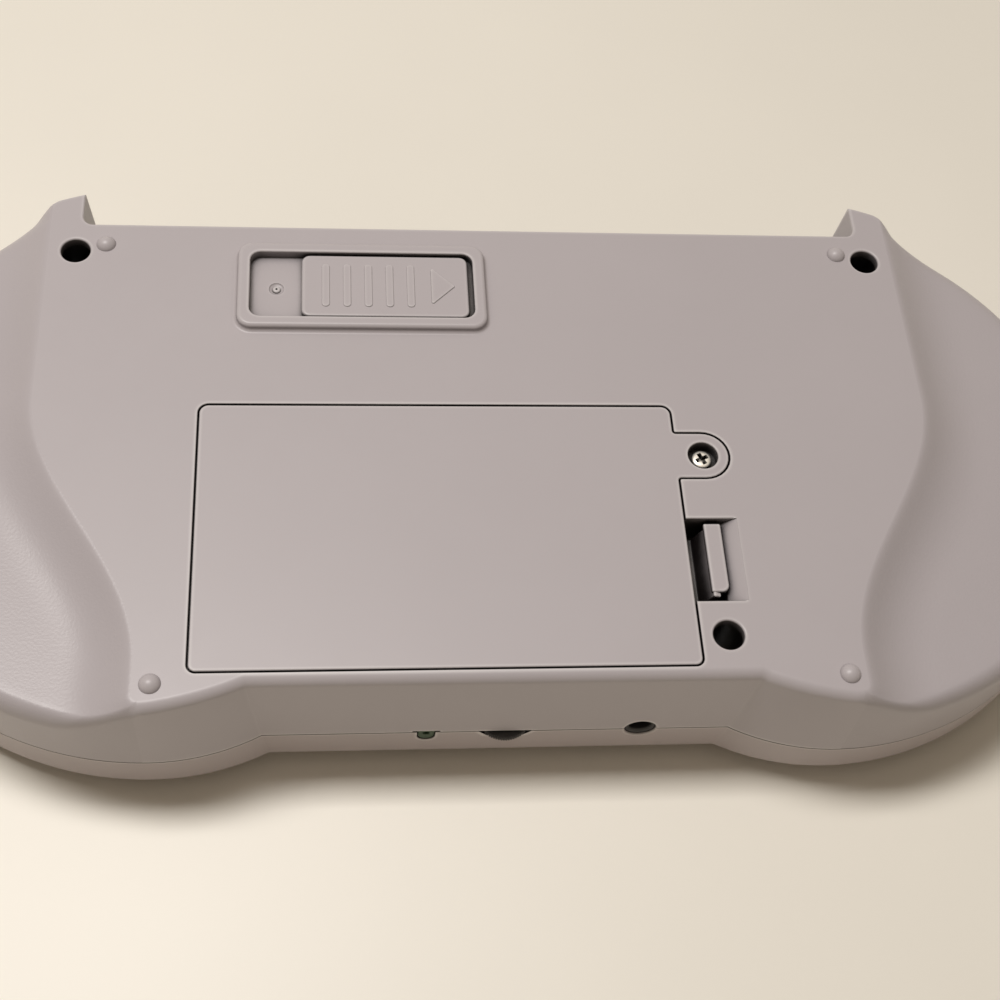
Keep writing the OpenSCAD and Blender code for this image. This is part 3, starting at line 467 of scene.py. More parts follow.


# The shade reach of the panel, front and screw looks paints shade into their gaps and holes and a
# highlight onto their outer edges.
PANEL = moulded("panel_plastic", srgb(184, 177, 180), 0.39, 0.012, 0.25, 0.006, shade_reach=7)
GRIP_SKIN = moulded("grip_plastic", srgb(181, 174, 177), 0.38, 0.015, 0.5, 0.03)
FRONT = moulded("front_plastic", srgb(186, 176, 176), 0.42, 0.012, 0.3, 0.006, shade_reach=1.5)
BLACK = moulded("black_plastic", srgb(24, 22, 23), 0.5, 0.15, 0.3, 0.008)
CHARCOAL = moulded("charcoal_plastic", srgb(48, 47, 50), 0.5, 0.1, 0.4, 0.015)
GREEN = moulded("green_plastic", srgb(54, 78, 52), 0.4, 0.12, 0.3, 0.008)
PURPLE = moulded("purple_plastic", srgb(94, 78, 134), 0.32, 0.05, 0.5, 0.004)
LILAC = moulded("lilac_plastic", srgb(160, 148, 194), 0.34, 0.05, 0.5, 0.004)
RUBBER = moulded("rubber_grey", srgb(80, 80, 84), 0.75, 0.08, 0.4, 0.02)
WRAP = moulded("battery_wrap", srgb(70, 86, 116), 0.3, 0.06, 2.5, 0.03)
STEEL = moulded("steel", srgb(205, 205, 208), 0.22, 0.05, 0.2, 0.002, 1.0)
ZINC = moulded("screw_zinc", srgb(226, 222, 214), 0.4, 0.05, 0.2, 0.004, 0.6, shade_reach=1.4)
GOLD = moulded("gold_contact", srgb(216, 180, 104), 0.25, 0.06, 0.2, 0.002, 1.0)
PIPE = moulded("light_pipe", srgb(150, 206, 142), 0.25, 0.06, 0.5, 0.004)
PIPE.node_tree.nodes["Principled BSDF"].inputs["Transmission Weight"].default_value = 0.5
BOARD = board_look()
LENS = lens_look()
LCD = lcd_look()


# Closed meshes

def add_mesh(name, points, faces):
    """A closed mesh through points in millimetres, with doubled points merged."""
    form = bmesh.new()
    verts = [form.verts.new(Vector(p) * MM) for p in points]
    for face in faces:
        form.faces.new([verts[k] for k in face])
    bmesh.ops.remove_doubles(form, verts=form.verts, dist=2e-7)
    bmesh.ops.recalc_face_normals(form, faces=form.faces)
    mesh = bpy.data.meshes.new(name)
    form.to_mesh(mesh)
    form.free()
    piece = bpy.data.objects.new(name, mesh)
    bpy.context.scene.collection.objects.link(piece)
    return piece


def loft(name, rings):
    """A closed solid through rings with the same number of points, lowest ring first."""
    n = len(rings[0])
    points = [p for ring in rings for p in ring]
    last = len(points) - n
    faces = [list(range(n))[::-1], [last + k for k in range(n)]]
    for j in range(0, last, n):
        for k in range(n):
            a = j + k
            b = j + (k + 1) % n
            faces.append((a, b, b + n, a + n))
    return add_mesh(name, points, faces)


def rounded(corners, grow=0, steps=5, fill=0):
    """Outline through (x, y, radius) corners, counter-clockwise, moved outwards by grow."""
    arcs = []
    for i, (x, y, r) in enumerate(corners):
        here = Vector((x, y))
        before = Vector(corners[i - 1][:2])
        after = Vector(corners[(i + 1) % len(corners)][:2])
        d1 = (here - before).normalized()
        d2 = (after - here).normalized()
        n1 = Vector((d1.y, -d1.x))
        n2 = Vector((d2.y, -d2.x))
        tip = here + grow * (n1 + n2) / (1 + n1.dot(n2))
        if r == 0:
            arcs.append([tip])
            continue
        side = 1 if d1.cross(d2) > 0 else -1
        radius = max(r + side * grow, 0.02)
        half = acos(max(-1, min(1, d1.dot(d2)))) / 2
        centre = tip - d1 * radius * tan(half) - n1 * radius * side
        spoke = n1 * radius * side
        turns = [Matrix.Rotation(side * 2 * half * k / steps, 2) for k in range(steps + 1)]
        arcs.append([centre + turn @ spoke for turn in turns])
    ring = []
    for arc, following in zip(arcs, arcs[1:] + arcs[:1]):
        ring += arc
        ring += [arc[-1].lerp(following[0], (k + 1) / (fill + 1)) for k in range(fill)]
    return ring


def plan(corners, **kind):
    return lambda grow: rounded(corners, grow, **kind)


def box(x0, x1, y0, y1, r=0, **kind):
    return plan([(x1, y0, r), (x1, y1, r), (x0, y1, r), (x0, y0, r)], **kind)


def grown(outline, margin):
    return lambda grow: outline(grow + margin)


def lying(middle, along, spots, r):
    """Outline through spots given along and across a direction."""
    across = Vector((-along.y, along.x))
    return plan([(*(middle + a * along + b * across), r) for a, b in spots])


def disc(x, y, r, n=48):
    spokes = [direction(2 * pi * k / n) for k in range(n)]
    return lambda grow: [Vector((x, y)) + (r + grow) * s for s in spokes]


def upright(u, v, w):
    return u, v, w


def facing_y(u, v, w):
    """A plan drawn in X and Z, with w running towards the near edge."""
    return u, -w, v


def round_grip(side):
    """A plan drawn along a grip's outline and in Z, with w running out from the grip's centre."""
    def place(u, v, w):
        spoke = direction(u / GRIP_R)
        return side * (GRIP_X + w * spoke.x), GRIP_Y + w * spoke.y, v
    return place


def solid(name, outline, profile, place=upright):
    """A solid whose outline grows or shrinks along a profile of (height, growth) pairs."""
    return loft(name, [[place(p.x, p.y, z) for p in outline(grow)] for z, grow in profile])


def straight(z0, z1, grow=0):
    return [(z0, grow), (z1, grow)]


def round_top(z, e, steps=4):
    return [(z - e + e * sin(a), e * cos(a) - e) for a in quarter(steps)]


def round_foot(z, e, steps=4):
    return [(z + e - e * cos(a), e * sin(a) - e) for a in quarter(steps)]


def mouth_up(z, e, grow=0, steps=4):
    """End of a cutter that leaves a rounded edge at a face z above it."""
    lift = 0.01
    arc = [(z + lift - e + e * sin(a), grow + e - e * cos(a)) for a in quarter(steps)]
    return arc + [(z + FAR, grow + e)]


def mouth_down(z, e, steps=4):
    """Start of a cutter that leaves a rounded edge at a face z below it."""
    lift = 0.01
    arc = [(z - lift + e - e * cos(a), e - e * sin(a)) for a in quarter(steps)]
    return [(z - FAR, e)] + arc


def pebble(name, outline, z0, z1, top=0.3, foot=0.3):
    """A slab with rounded upper and lower edges."""
    return solid(name, outline, round_foot(z0, foot) + round_top(z1, top))


def carve(piece, tools, how="DIFFERENCE"):
    """Cuts the tools from a piece, or joins them to it, and deletes them."""
    group = bpy.data.collections.new("tools")
    for tool in tools:
        group.objects.link(tool)
    change = piece.modifiers.new("carve", "BOOLEAN")
    change.operation = how
    change.solver = "MANIFOLD"
    change.operand_type = "COLLECTION"
    change.collection = group
    depsgraph = bpy.context.evaluated_depsgraph_get()
    shape = bpy.data.meshes.new_from_object(piece.evaluated_get(depsgraph))
    piece.modifiers.clear()
    piece.data = shape
    for tool in tools:
        bpy.data.objects.remove(tool)
    bpy.data.collections.remove(group)


def join(piece, parts):
    carve(piece, parts, "UNION")


# The case

def edge_x(y):
    """Side edge of the back panel."""
    return mix(EDGE_NEAR_X, EDGE_FAR_X, ease((y - EDGE_Y0) / EDGE_RUN))


def edge_gap(p):
    """Distance of a point outside the panel's edge, which turns into the near edge by an arc."""
    arm = p - CORNER
    if arm.x > 0 and arm.y < 0:
        return arm.length - EDGE_NEAR
    swing = pi * clip01((p.y - EDGE_Y0) / EDGE_RUN)
    slope = (EDGE_FAR_X - EDGE_NEAR_X) / 2 * sin(swing) * pi / EDGE_RUN
    return (p.x - edge_x(p.y)) / sqrt(1 + slope * slope)


def top_z(p):
    """Height of the back: the panel, then the cove that falls to the grip."""
    gap = max(0, edge_gap(p))
    gap = sqrt(gap * gap + EDGE_ROUND * EDGE_ROUND) - EDGE_ROUND
    return PANEL_Z - GRIP_DROP * (1 - (1 - clip01(gap / COVE_W)) ** COVE_P)


def edge_point(share):
    """A point of the panel's side edge, from the arc at its near corner to the far end."""
    if share < CORNER_SHARE:
        return CORNER + EDGE_NEAR * direction(-pi / 2 * (1 - share / CORNER_SHARE))
    y = mix(CORNER.y, FAR_Y - EDGE_STOP, (share - CORNER_SHARE) / (1 - CORNER_SHARE))
    return Vector((edge_x(y), y))


def rise(share, start, end):
    """Goes smoothly from 0 to 1 between two shares of the way round a grip."""
    return ease((share - start) / (end - start))


def grip_rim(share):
    """Rounding of a grip's rim, tightest at the panel's corner and widest on the far side."""
    near = mix(CORNER_R, NEAR_RIM_R, rise(share, 0, 0.12))
    return mix(near, FAR_RIM_R, rise(share, 0.45, 0.75))


def rim_limit(share):
    """How much of the way to the panel's edge a rim may take up."""
    middle = 0.6
    end = 0.95
    return mix(1, middle, rise(share, 0, 0.14)) + (end - middle) * rise(share, 0.8, 1)


def stations():
    """Stations of the outline's right half, from the waist round the grip to the horn."""
    row = []
    for i in range(N_BEND + 1):
        share = i / N_BEND
        b = BEND_A * (1 - share)
        point = Vector((GRIP_X - BEND_R * sin(b), NEAR_Y + BEND_R * (1 - cos(b))))
        inward = Vector((sin(b), cos(b))) if i else Vector((tan(BEND_A / 2), 1))
        inset = mix(WAIST_SLANT, GRIP_SLANT, share) + BEND_SLANT * sin(pi * share)
        slant = Vector((CORNER_LEAN * (1 - share), inset))
        row.append(Station(point, inward, mix(WAIST_R, CORNER_R, share), None, slant, 1))
    for i in range(1, N_GRIP + 1):
        share = i / N_GRIP
        spoke = direction(mix(-pi / 2, EDGE_A, share))
        slant = Vector((0, GRIP_SLANT * (1 - rise(share, 0, 0.1))))
        row.append(Station(GRIP + GRIP_R * spoke, -spoke, grip_rim(share), edge_point(share), slant,
                           rim_limit(share)))
    for i in range(1, N_HORN + 1):
        spoke = direction(mix(EDGE_A, HORN_A, i / N_HORN))
        inward = -spoke if i < N_HORN else Vector((-tan((pi / 2 - HORN_A) / 2), -1))
        row.append(Station(GRIP + GRIP_R * spoke, inward, HORN_R, None, Vector((0, 0)), 1))
    return row


STATIONS = stations()


def at(p, z):
    return p.x, p.y, z


def rear_section(station):
    """Points up one station: parting line, rounded rim, then the cove up to the panel."""
    point, inward, r, edge, slant, limit = station
    top = point + slant
    aim = inward
    if edge:
        span = (edge - top).length
        aim = (edge - top) / span
        r = min(r, limit * span)
    rim = top + r * aim
    rows = [at(point + GROOVE_IN * inward, PART_Z), at(point, PART_Z + GROOVE)]
    for a in quarter():
        spot = top + r * (1 - cos(a)) * aim
        rows.append(at(spot, top_z(spot) - r * (1 - sin(a))))
    for k in range(1, N_COVE + 1):
        spot = (edge or rim).lerp(rim, (1 - k / N_COVE) ** COVE_CROWD)
        rows.append(at(spot, top_z(spot)))
    return rows


def front_section(station):
    """Points up one station of the front shell, from the face to the parting line."""
    point, inward = station[:2]
    low = point - Vector((station.slant.x / 2, 0))
    rows = []
    for a in reversed(quarter()):
        rows.append(at(low + FRONT_R * (1 - cos(a)) * inward, FACE_Z + FRONT_R * (1 - sin(a))))
    return rows + [at(point, PART_Z - GROOVE), at(point + GROOVE_IN * inward, PART_Z)]


def whole(row):
    """A ring from the points of its right half."""
    return list(row) + [(-x, y, z) for x, y, z in reversed(row)]


def shell_skin(name, section):
    return loft(name, [whole(row) for row in zip(*[section(s) for s in STATIONS])])


def prism(name, half, z0, z1):
    """A straight solid over a plan that is the same on both sides of the middle."""
    return loft(name, [whole([at(p, z) for p in half]) for z in (z0, z1)])


def inner_half(y_end):
    """Right half of the plan inside the case walls, as far as y_end."""
    inner = [s.point + WALL * s.inward for s in STATIONS]
    return [p for p in inner if p.y < y_end]


def slot_cut():
    """The open end of the cartridge slot between the horns, its sides leaning outwards."""
    e = 0.4
    r = 1.8
    z0 = PART_Z - 1
    rings = []
    for z, grow in [(z0, 0)] + mouth_up(PANEL_Z, e)[:-1] + [(PANEL_Z + 9, e)]:
        half = mix(HORN_IN + 0.3, HORN_X - 0.1, clip01((z - z0) / (PANEL_Z - z0)))
        corners = [(-half, PANEL_FAR_Y, r), (half, PANEL_FAR_Y, r), (half, FAR, 0), (-half, FAR, 0)]
        rings.append([at(p, z) for p in rounded(corners, grow)])
    return loft("slot_cut", rings)


def shoulder_cuts():
    """Openings of the two shoulder keys, with room for their swing."""
    e = 0.3
    z0 = PART_Z - 3.75
    z1 = PART_Z + 6.95
    a0 = radians(SHOULDER_A0 - 0.9) * GRIP_R
    a1 = radians(SHOULDER_A1 + 1.2) * GRIP_R
    outline = box(a0, a1, z0, z1, 0.7, fill=24)
    profile = [(GRIP_R - 6, 0)] + mouth_up(GRIP_R, e)[:-1] + [(GRIP_R + 5, e)]
    return [solid("shoulder_cut", outline, profile, round_grip(s)) for s in (1, -1)]


def power_plan():
    """The power socket's opening: a flat lip over a round cup."""
    lip = POWER_Z + 1
    drop = POWER_Z + 0.4
    cup = 1.5
    wide = 2.3
    low = drop - 2 * cup
    right = [(cup, low, cup - 0.05), (cup, drop, 0.3), (wide, drop, 0.15), (wide, lip, 0.2)]
    left = [(-x, z, r) for x, z, r in reversed(right)]
    return plan([(POWER_X + x, z, r) for x, z, r in right + left])


def edge_cuts():
    """The three openings on the parting line of the near edge."""
    inside = -(WAIST_Y + WALL + 1)
    phone = disc(PHONE_X, PART_Z, PHONE_HOLE_R)
    wheel = disc(WHEEL_X, WHEEL_Y, WHEEL_SLOT_R, 96)
    taper = 0.5
    scoop = [(WHEEL_Z0 + 0.2, -taper), (PART_Z - 0.1, taper), (PART_Z + 0.2, taper)]
    return [
        solid("phone_cut", phone, [(inside, 0)] + mouth_up(-WAIST_Y, 0.3), facing_y),
        solid("power_cut", power_plan(), [(inside, 0)] + mouth_up(-WAIST_Y, 0.15), facing_y),
        solid("wheel_cut", wheel, scoop),
    ]


def socket_body(name, x, half, y_end, z1):
    """The block of a socket, standing on the board behind the near wall."""
    return pebble(name, box(x - half, x + half, JACK_Y, y_end, 0.3), BOARD_TOP, z1, 0.3, 0.2)


def build_headphone_jack():
    """Round black socket: a collar that fills its hole in the wall, with a rounded mouth."""
    half = 3.2
    length = 11.5
    jack = socket_body("phone_socket", PHONE_X, half, JACK_Y + length, PART_Z + 2.5)
    face = -(WAIST_Y + PHONE_SUNK)
    ring = disc(PHONE_X, PART_Z, PHONE_COLLAR_R)
    join(jack, [solid("collar", ring, [(-JACK_Y - 1, 0)] + round_top(face, 0.2), facing_y)])
    bore = disc(PHONE_X, PART_Z, PHONE_R)
    carve(jack, [solid("bore", bore, [(face - PHONE_DEPTH, 0)] + mouth_up(face, 0.6), facing_y)])
    return jack


def build_power_jack():
    """Green socket: its nose fills the opening, with a round bore and a centre pin."""
    half = 3.4
    length = 10.5
    play = 0.08
    jack = socket_body("power_socket", POWER_X, half, JACK_Y + length, POWER_Z + 2.7)
    face = -(WAIST_Y + POWER_SUNK)
    nose = [(-JACK_Y - 1, -play), (face - 0.2, -play), (face, -0.25)]
    join(jack, [solid("nose", power_plan(), nose, facing_y)])
    bore = disc(POWER_X, POWER_BORE_Z, POWER_BORE_R)
    carve(jack, [solid("bore", bore, [(face - POWER_DEPTH, 0)] + mouth_up(face, 0.2), facing_y)])
    pin = disc(POWER_X, POWER_BORE_Z, POWER_PIN_R, 16)
    join(jack, [solid("pin", pin, straight(face - POWER_DEPTH - 1, face - 1.5), facing_y)])
    return jack


def cover_plan():
    """The battery cover with its screw ear."""
    tip = EAR_X + EAR_R
    ear0 = EAR_Y - EAR_R
    ear1 = EAR_Y + EAR_R
    return plan([(COVER_X1, COVER_Y0, COVER_NEAR_R),
                 (COVER_X1, ear0, COVER_ROOT_R), (tip, ear0, EAR_R),
                 (tip, ear1, EAR_R), (COVER_X1, ear1, COVER_ROOT_R),
                 (COVER_X1, COVER_Y1, COVER_FAR_R), (COVER_X0, COVER_Y1, COVER_FAR_R),
                 (COVER_X0, COVER_Y0, COVER_NEAR_R)], steps=8)


def slide_frame():
    """The raised rim round the slide's window: filleted foot, sloping side, rounded top."""
    w = FRAME_W
    outline = box(WINDOW_X0 - w, WINDOW_X1 + w, WINDOW_Y0 - w, WINDOW_Y1 + w, 2.6)
    r = FRAME_H / 2
    steps = 6
    fillet = [(PANEL_Z + r - r * sin(a), r - r * cos(a)) for a in reversed(quarter(steps))]
    top = round_top(PANEL_Z + FRAME_H, r, steps)[1:]
    return solid("frame", outline, [(PANEL_Z - 1, r)] + fillet + top)


def foot(x, y):
    """A domed foot, sunk a little into the panel."""
    steps = 12
    sunk = 0.4
    centre = PANEL_Z + FOOT_H - FOOT_R
    low = asin((PANEL_Z - sunk - centre) / FOOT_R)
    dome = [mix(low, radians(88), k / steps) for k in range(steps + 1)]
    return solid("foot", disc(x, y, 0, 32), [(centre + FOOT_R * sin(a), FOOT_R * cos(a)) for a in dome])


def latch_cuts():
    """Finger recess beside the cover: a deep flat floor and a two-facet slope up to the panel."""
    x0 = LATCH_X0 - 1
    over = PANEL_Z + 1
    e = 0.3
    play = 0.5
    corners = [(x0, LATCH_Z, 0), (LATCH_X0 + LATCH_FLOOR, LATCH_Z, 0.8),
               (LATCH_X0 + LATCH_BREAK, PANEL_Z - LATCH_BREAK_D, 0.5),
               (LATCH_X1, PANEL_Z, 0.6), (LATCH_X1, over, 0), (x0, over, 0)]
    recess = solid("latch", plan(corners), straight(-LATCH_Y1, -LATCH_Y0), facing_y)
    mouth = solid("latch_mouth", box(x0, LATCH_X1 - 0.5, LATCH_Y0, LATCH_Y1, e),
                  mouth_up(PANEL_Z, e)[:-1] + [(over, e)])
    gate = solid("latch_gate", box(BAY_X1 - 1, LATCH_X0, CLIP_Y0 - play, CLIP_Y1 + play),
                 straight(LATCH_Z, PANEL_Z))
    return [recess, mouth, gate]


def hollow_rear(shell):
    """Hollows the rear shell: under the grips and the panel, then the slot between the horns."""
    steps = 22
    margin = 3
    upper = [mix(WAIST_Y + WALL, HORN_Y - 1, k / steps) for k in range(steps + 1)]
    under_panel = [Vector((edge_x(y) - margin, y)) for y in upper]
    carve(shell, [
        prism("inside", inner_half(HORN_Y), PART_Z - 1, GRIP_UNDER_Z),
        prism("inside_top", under_panel, GRIP_UNDER_Z - 1, UNDER_Z),
    ])
    slot = box(-HORN_IN, HORN_IN, HORN_Y - 2, FAR)
    carve(shell, [solid("inside_slot", slot, straight(PART_Z - 1, UNDER_Z))])


def rear_parts():
    """Posts and feet, the slide's frame, and the boxes of bay, latch and ear under the panel."""
    buried = UNDER_Z + 1
    w = BAY_WALL
    parts = [solid("post", disc(x, y, WELL_R + POST_WALL), straight(POST_Z, buried)) for x, y in SCREWS]
    parts += [foot(x, y) for x, y in FEET]
    parts.append(slide_frame())
    bay = box(BAY_X0 - w, BAY_X1 + w, WAIST_Y + 1.6, BAY_Y1 + w, 1)
    parts.append(solid("bay", bay, straight(BAY_FLOOR_Z - w, buried)))
    latch = box(BAY_X1, LATCH_X1 + LATCH_WALL, LATCH_Y0 - LATCH_WALL, LATCH_Y1 + LATCH_WALL)
    parts.append(solid("latch_box", latch, straight(LATCH_Z - 1.4, buried)))
    boss = disc(EAR_X, EAR_Y, EAR_R + 1.2)
    parts.append(solid("ear_boss", boss, straight(EAR_Z0 - 6.7, buried)))
    return parts


def well_cuts():
    """Screw wells with their flared lower part, and the holes for the shanks."""
    tools = []
    for x, y in SCREWS:
        shank = disc(x, y, SHANK_R + SHANK_PLAY)
        tools.append(solid("well", disc(x, y, WELL_R), WELL + mouth_up(PANEL_Z, 0.4)))
        tools.append(solid("hole", shank, straight(POST_Z - 1, SEAT_Z + 1)))
    return tools


def cover_cuts():
    """Seat of the cover and its ear, the bay below, and the pockets for the cover's hooks."""
    seat = COVER_Z0 - 0.1
    play = 0.4
    tools = [
        solid("cover_seat", cover_plan(), [(seat, SEAM)] + mouth_up(PANEL_Z, 0.2, SEAM)),
        solid("ear_seat", disc(EAR_X, EAR_Y, EAR_R + SEAM), straight(EAR_Z0 - 0.2, FAR)),
        solid("ear_hole", disc(EAR_X, EAR_Y, 1.4), straight(EAR_Z0 - 5, FAR)),
        solid("bay_cut", box(BAY_X0, BAY_X1, BAY_Y0, BAY_Y1, 1.2),
              round_foot(BAY_FLOOR_Z, 0.8) + mouth_up(seat, 0.3)),
    ]
    for y in HOOKS:
        hook = box(BAY_X0 - BAY_WALL - 4, BAY_X0 + 1, y - play, y + HOOK_W + play)
        tools.append(solid("hook_cut", hook, straight(HOOK_Z0 - 1, UNDER_Z)))
    return tools


def window_cuts():
    """The slide's window, the slit that its tongue runs in, and the dimple in the window's floor."""
    window = box(WINDOW_X0, WINDOW_X1, WINDOW_Y0, WINDOW_Y1, 1.9)
    slit = box(SLIDE_X0 + 2.5, SLIDE_X0 + 18.5, WINDOW_Y0 + 0.8, WINDOW_Y0 + 5.2, 0.5)
    tiny = 0.02
    bowl = [(WINDOW_Z - DIMPLE_D * cos(a), DIMPLE_R * sin(a) + tiny) for a in quarter(6)]
    return [
        solid("window", window, [(WINDOW_Z, 0)] + mouth_up(PANEL_Z + FRAME_H, 0.3)),
        solid("tongue", slit, straight(UNDER_Z - 1, FAR)),
        solid("dimple", disc(WINDOW_X0 + DIMPLE_IN, WINDOW_MID, 0, 32), bowl + [(FAR, DIMPLE_R + tiny)]),
    ]


def add_pip(shell):
    """The round pip in the dimple, with a small pit in its top."""
    pip = disc(WINDOW_X0 + DIMPLE_IN, WINDOW_MID, 0.75, 32)
    join(shell, [solid("pip", pip, [(WINDOW_Z - 0.6, 0)] + round_top(WINDOW_Z, 0.3))])
    carve(shell, [solid("pit", pip, [(WINDOW_Z - 0.35, -0.6), (WINDOW_Z + 1, -0.4)])])


def build_rear_shell():
    """Back half of the case: the panel in one grain, the grips in another."""
    shell = shell_skin("rear_case", rear_section)
    shell.data.materials.append(PANEL)
    shell.data.materials.append(GRIP_SKIN)
    for face in shell.data.polygons:
        spot = face.center / MM
        face.material_index = int(abs(spot.x) > edge_x(spot.y))
    hollow_rear(shell)
    for part in rear_parts():
        join(shell, [part])
    tools = [slot_cut()] + shoulder_cuts() + edge_cuts() + latch_cuts()
    for tool in tools + well_cuts() + cover_cuts() + window_cuts():
        carve(shell, [tool])
    add_pip(shell)
    return shell


def put(piece, body, slot, nodes, *looks):
    """Finishes a piece: looks, smooth shading, the body that it rides and the solids it replaces."""
    if looks:
        piece.data.materials.clear()
    for look in looks:
        piece.data.materials.append(look)
    piece.data.shade_smooth()
    piece.data.set_sharp_from_angle(angle=SMOOTH_ANGLE)
    normals = piece.modifiers.new("normals", "WEIGHTED_NORMAL")
    normals.keep_sharp = True
    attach(piece, body)
    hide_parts(*nodes)


def screen_plan(w, h, r):
    return box(-w / 2, w / 2, SCREEN_Y - h / 2, SCREEN_Y + h / 2, r)


def pad_plan():
    """The direction pad's cross."""
    long = PAD_L / 2
    wide = PAD_W / 2
    tip = 1.2
    arm = [(long, -wide, tip), (long, wide, tip), (wide, wide, 0.5)]
    corners = []
    for c, s in ((1, 0), (0, 1), (-1, 0), (0, -1)):
        corners += [(PAD_X + x * c - y * s, PAD_Y + x * s + y * c, r) for x, y, r in arm]
    return plan(corners)


def ball(x, y, z, r):
    turn = [mix(radians(-89), radians(89), k / 24) for k in range(25)]
    return solid("ball", disc(x, y, 0), [(z + r * sin(a), r * cos(a)) for a in turn])


def speaker_holes():
    """One middle hole and two rings of six."""
    spots = [(0, 0)]
    for ring, start in ((3, 0), (5.6, 30)):
        spots += [ring * direction(radians(start + 60 * k)) for k in range(6)]
    return [(s * (GRIP_X + SPEAKER_OUT + x), NEAR_Y + SPEAKER_IN + y) for s in (1, -1) for x, y in spots]


def through(name, outline, e):
    """A cutter through the face that leaves a rounded edge on the outside."""
    return solid(name, outline, mouth_down(FACE_Z, e) + [(FAR, 0)])


def front_hollow():
    """Room inside the front shell, the slot's floor, and the seat and window of the lens."""
    slot = box(-HORN_IN + 0.2, HORN_IN - 0.2, HORN_Y + 1, FAR)
    well = box(-HORN_IN, HORN_IN, HORN_Y - 2, FAR_Y - WALL)
    seat = screen_plan(LENS_W + 0.3, LENS_H + 0.3, 2.2)
    return [
        prism("inside", inner_half(HORN_Y), FLOOR_Z, PART_Z + 1),
        solid("well", well, straight(FLOOR_Z, PART_Z + 1)),
        solid("slot", slot, straight(SLOT_Z, FAR)),
        solid("lens_seat", seat, mouth_down(0, 0.3) + [(1.5, 0)]),
        solid("screen", screen_plan(LENS_W - 8.5, LENS_H - 7.5, 1), straight(0, FAR)),
    ]


def face_cuts():
    """Openings of the pad, the light, the power slide, the keys, the pills and the grilles."""
    pocket = disc(PAD_X, PAD_Y, PAD_L / 2 + 2.9)
    long = 4.2
    wide = 1.7
    knob = box(KNOB_X - long, KNOB_X + long, MENU_Y - wide, MENU_Y + wide, 0.6)
    tools = [
        through("pad_hole", grown(pad_plan(), PAD_PLAY), 0.5),
        solid("pad_pocket", pocket, straight(FLOOR_Z - 0.8, FLOOR_Z + 1)),
        through("light", disc(LIGHT_X, MENU_Y, 1.3), 0.2),
        through("knob", knob, 0.3),
    ]
    tools += [through("key", disc(x, y, BUTTON_R + KEY_PLAY), 0.4) for x, y in key_spots()]
    tools += [through("menu", menu_plan(x, KEY_PLAY), 0.3) for x in (-MENU_X, MENU_X)]
    tools += [through("grille", disc(x, y, 0.8, 24), 0.25) for x, y in speaker_holes()]
    return tools


def build_front_shell():
    """Front half of the case, with the raised surround of the screen."""
    shell = shell_skin("front_case", front_section)
    surround = screen_plan(LENS_W + 2 * RING_W, LENS_H + 2 * RING_W, 4)
    join(shell, [solid("surround", surround, round_foot(0, 0.8) + [(FACE_Z + 0.5, 0)])])
    for tool in front_hollow() + face_cuts() + shoulder_cuts() + edge_cuts():
        carve(shell, [tool])
    return shell


def key_spots():
    """Middles of the face buttons, from the player's left one round."""
    spokes = [BUTTON_RING * direction(pi / 2 * k) for k in range(4)]
    return [(-PAD_X + s.x, PAD_Y + s.y) for s in spokes]


def menu_plan(x, grow=0):
    half = MENU_L / 2 + grow
    wide = MENU_W / 2 + grow
    return box(x - half, x + half, MENU_Y - wide, MENU_Y + wide, wide - 0.05)


def clip_parts():
    """The finger clip: a leg that goes down into the recess and up again, and a flat tab on it."""
    root_x = COVER_X1 - 1
    heel_x = COVER_X1 + 1.9
    tab_x0 = COVER_X1 + 3.3
    tab_x1 = COVER_X1 + 6.3
    tab_y0 = LATCH_Y0 + 2
    tab_y1 = LATCH_Y1 - 0.6
    tab_z = PANEL_Z - 0.7
    tab_t = 1.1
    low = LATCH_Z + 0.6
    leg_t = 1.2
    join_z = COVER_Z0 + 0.2
    e = 0.35
    leg = [(root_x, join_z, 0), (root_x, low, 0.8), (tab_x0 + 0.2, low, 0.9),
           (tab_x0 + 1.5, tab_z - 0.5, 0.2), (tab_x0 + 0.3, tab_z - 0.1, 0.3),
           (heel_x, low + leg_t, 0.4), (COVER_X1, low + leg_t, 0.3), (COVER_X1, join_z, 0)]
    tab = [(tab_x1, tab_y0, 1.3), (tab_x1, tab_y1, 0.4), (tab_x0, tab_y1, 0.3), (tab_x0, tab_y0, 0.3)]
    return [
        solid("leg", plan(leg), round_foot(-CLIP_Y1, e) + round_top(-CLIP_Y0, e), facing_y),
        pebble("tab", plan(tab), tab_z - tab_t, tab_z, e, 0.3),
    ]


def hook_parts():
    """Tongues on the cover's left edge that reach under the panel, each on its stem."""
    out_x = COVER_X0 - 2.6
    stem_x = COVER_X0 + 1.4
    in_x = COVER_X0 + 2.4
    parts = []
    for y in HOOKS:
        tongue = box(out_x, in_x, y, y + HOOK_W, 0.4)
        stem = box(stem_x, in_x, y, y + HOOK_W, 0.2)
        parts.append(pebble("hook", tongue, HOOK_Z0, HOOK_Z1, 0.25, 0.25))
        parts.append(solid("stem", stem, straight(HOOK_Z0 + 0.1, COVER_Z0 + 0.3)))
    return parts


def build_cover():
    """Battery cover: a flush plate with its ear, finger clip and hooks."""
    cover = pebble("battery_door", cover_plan(), COVER_Z0, PANEL_Z, 0.3, 0.2)
    ear = [(EAR_Z0, -0.2), (EAR_Z0 + 0.2, 0), (PANEL_Z - 1, 0)]
    parts = [solid("ear", disc(EAR_X, EAR_Y, EAR_R), ear)]
    for part in parts + clip_parts() + hook_parts():
        join(cover, [part])
    bore = disc(EAR_X, EAR_Y, BORE_R)
    carve(cover, [solid("bore", bore, [(EAR_Z0 + EAR_WEB, 0)] + mouth_up(PANEL_Z, 0.25))])
    carve(cover, [solid("hole", disc(EAR_X, EAR_Y, 1.15), straight(EAR_Z0 - 1, FAR))])
    return cover


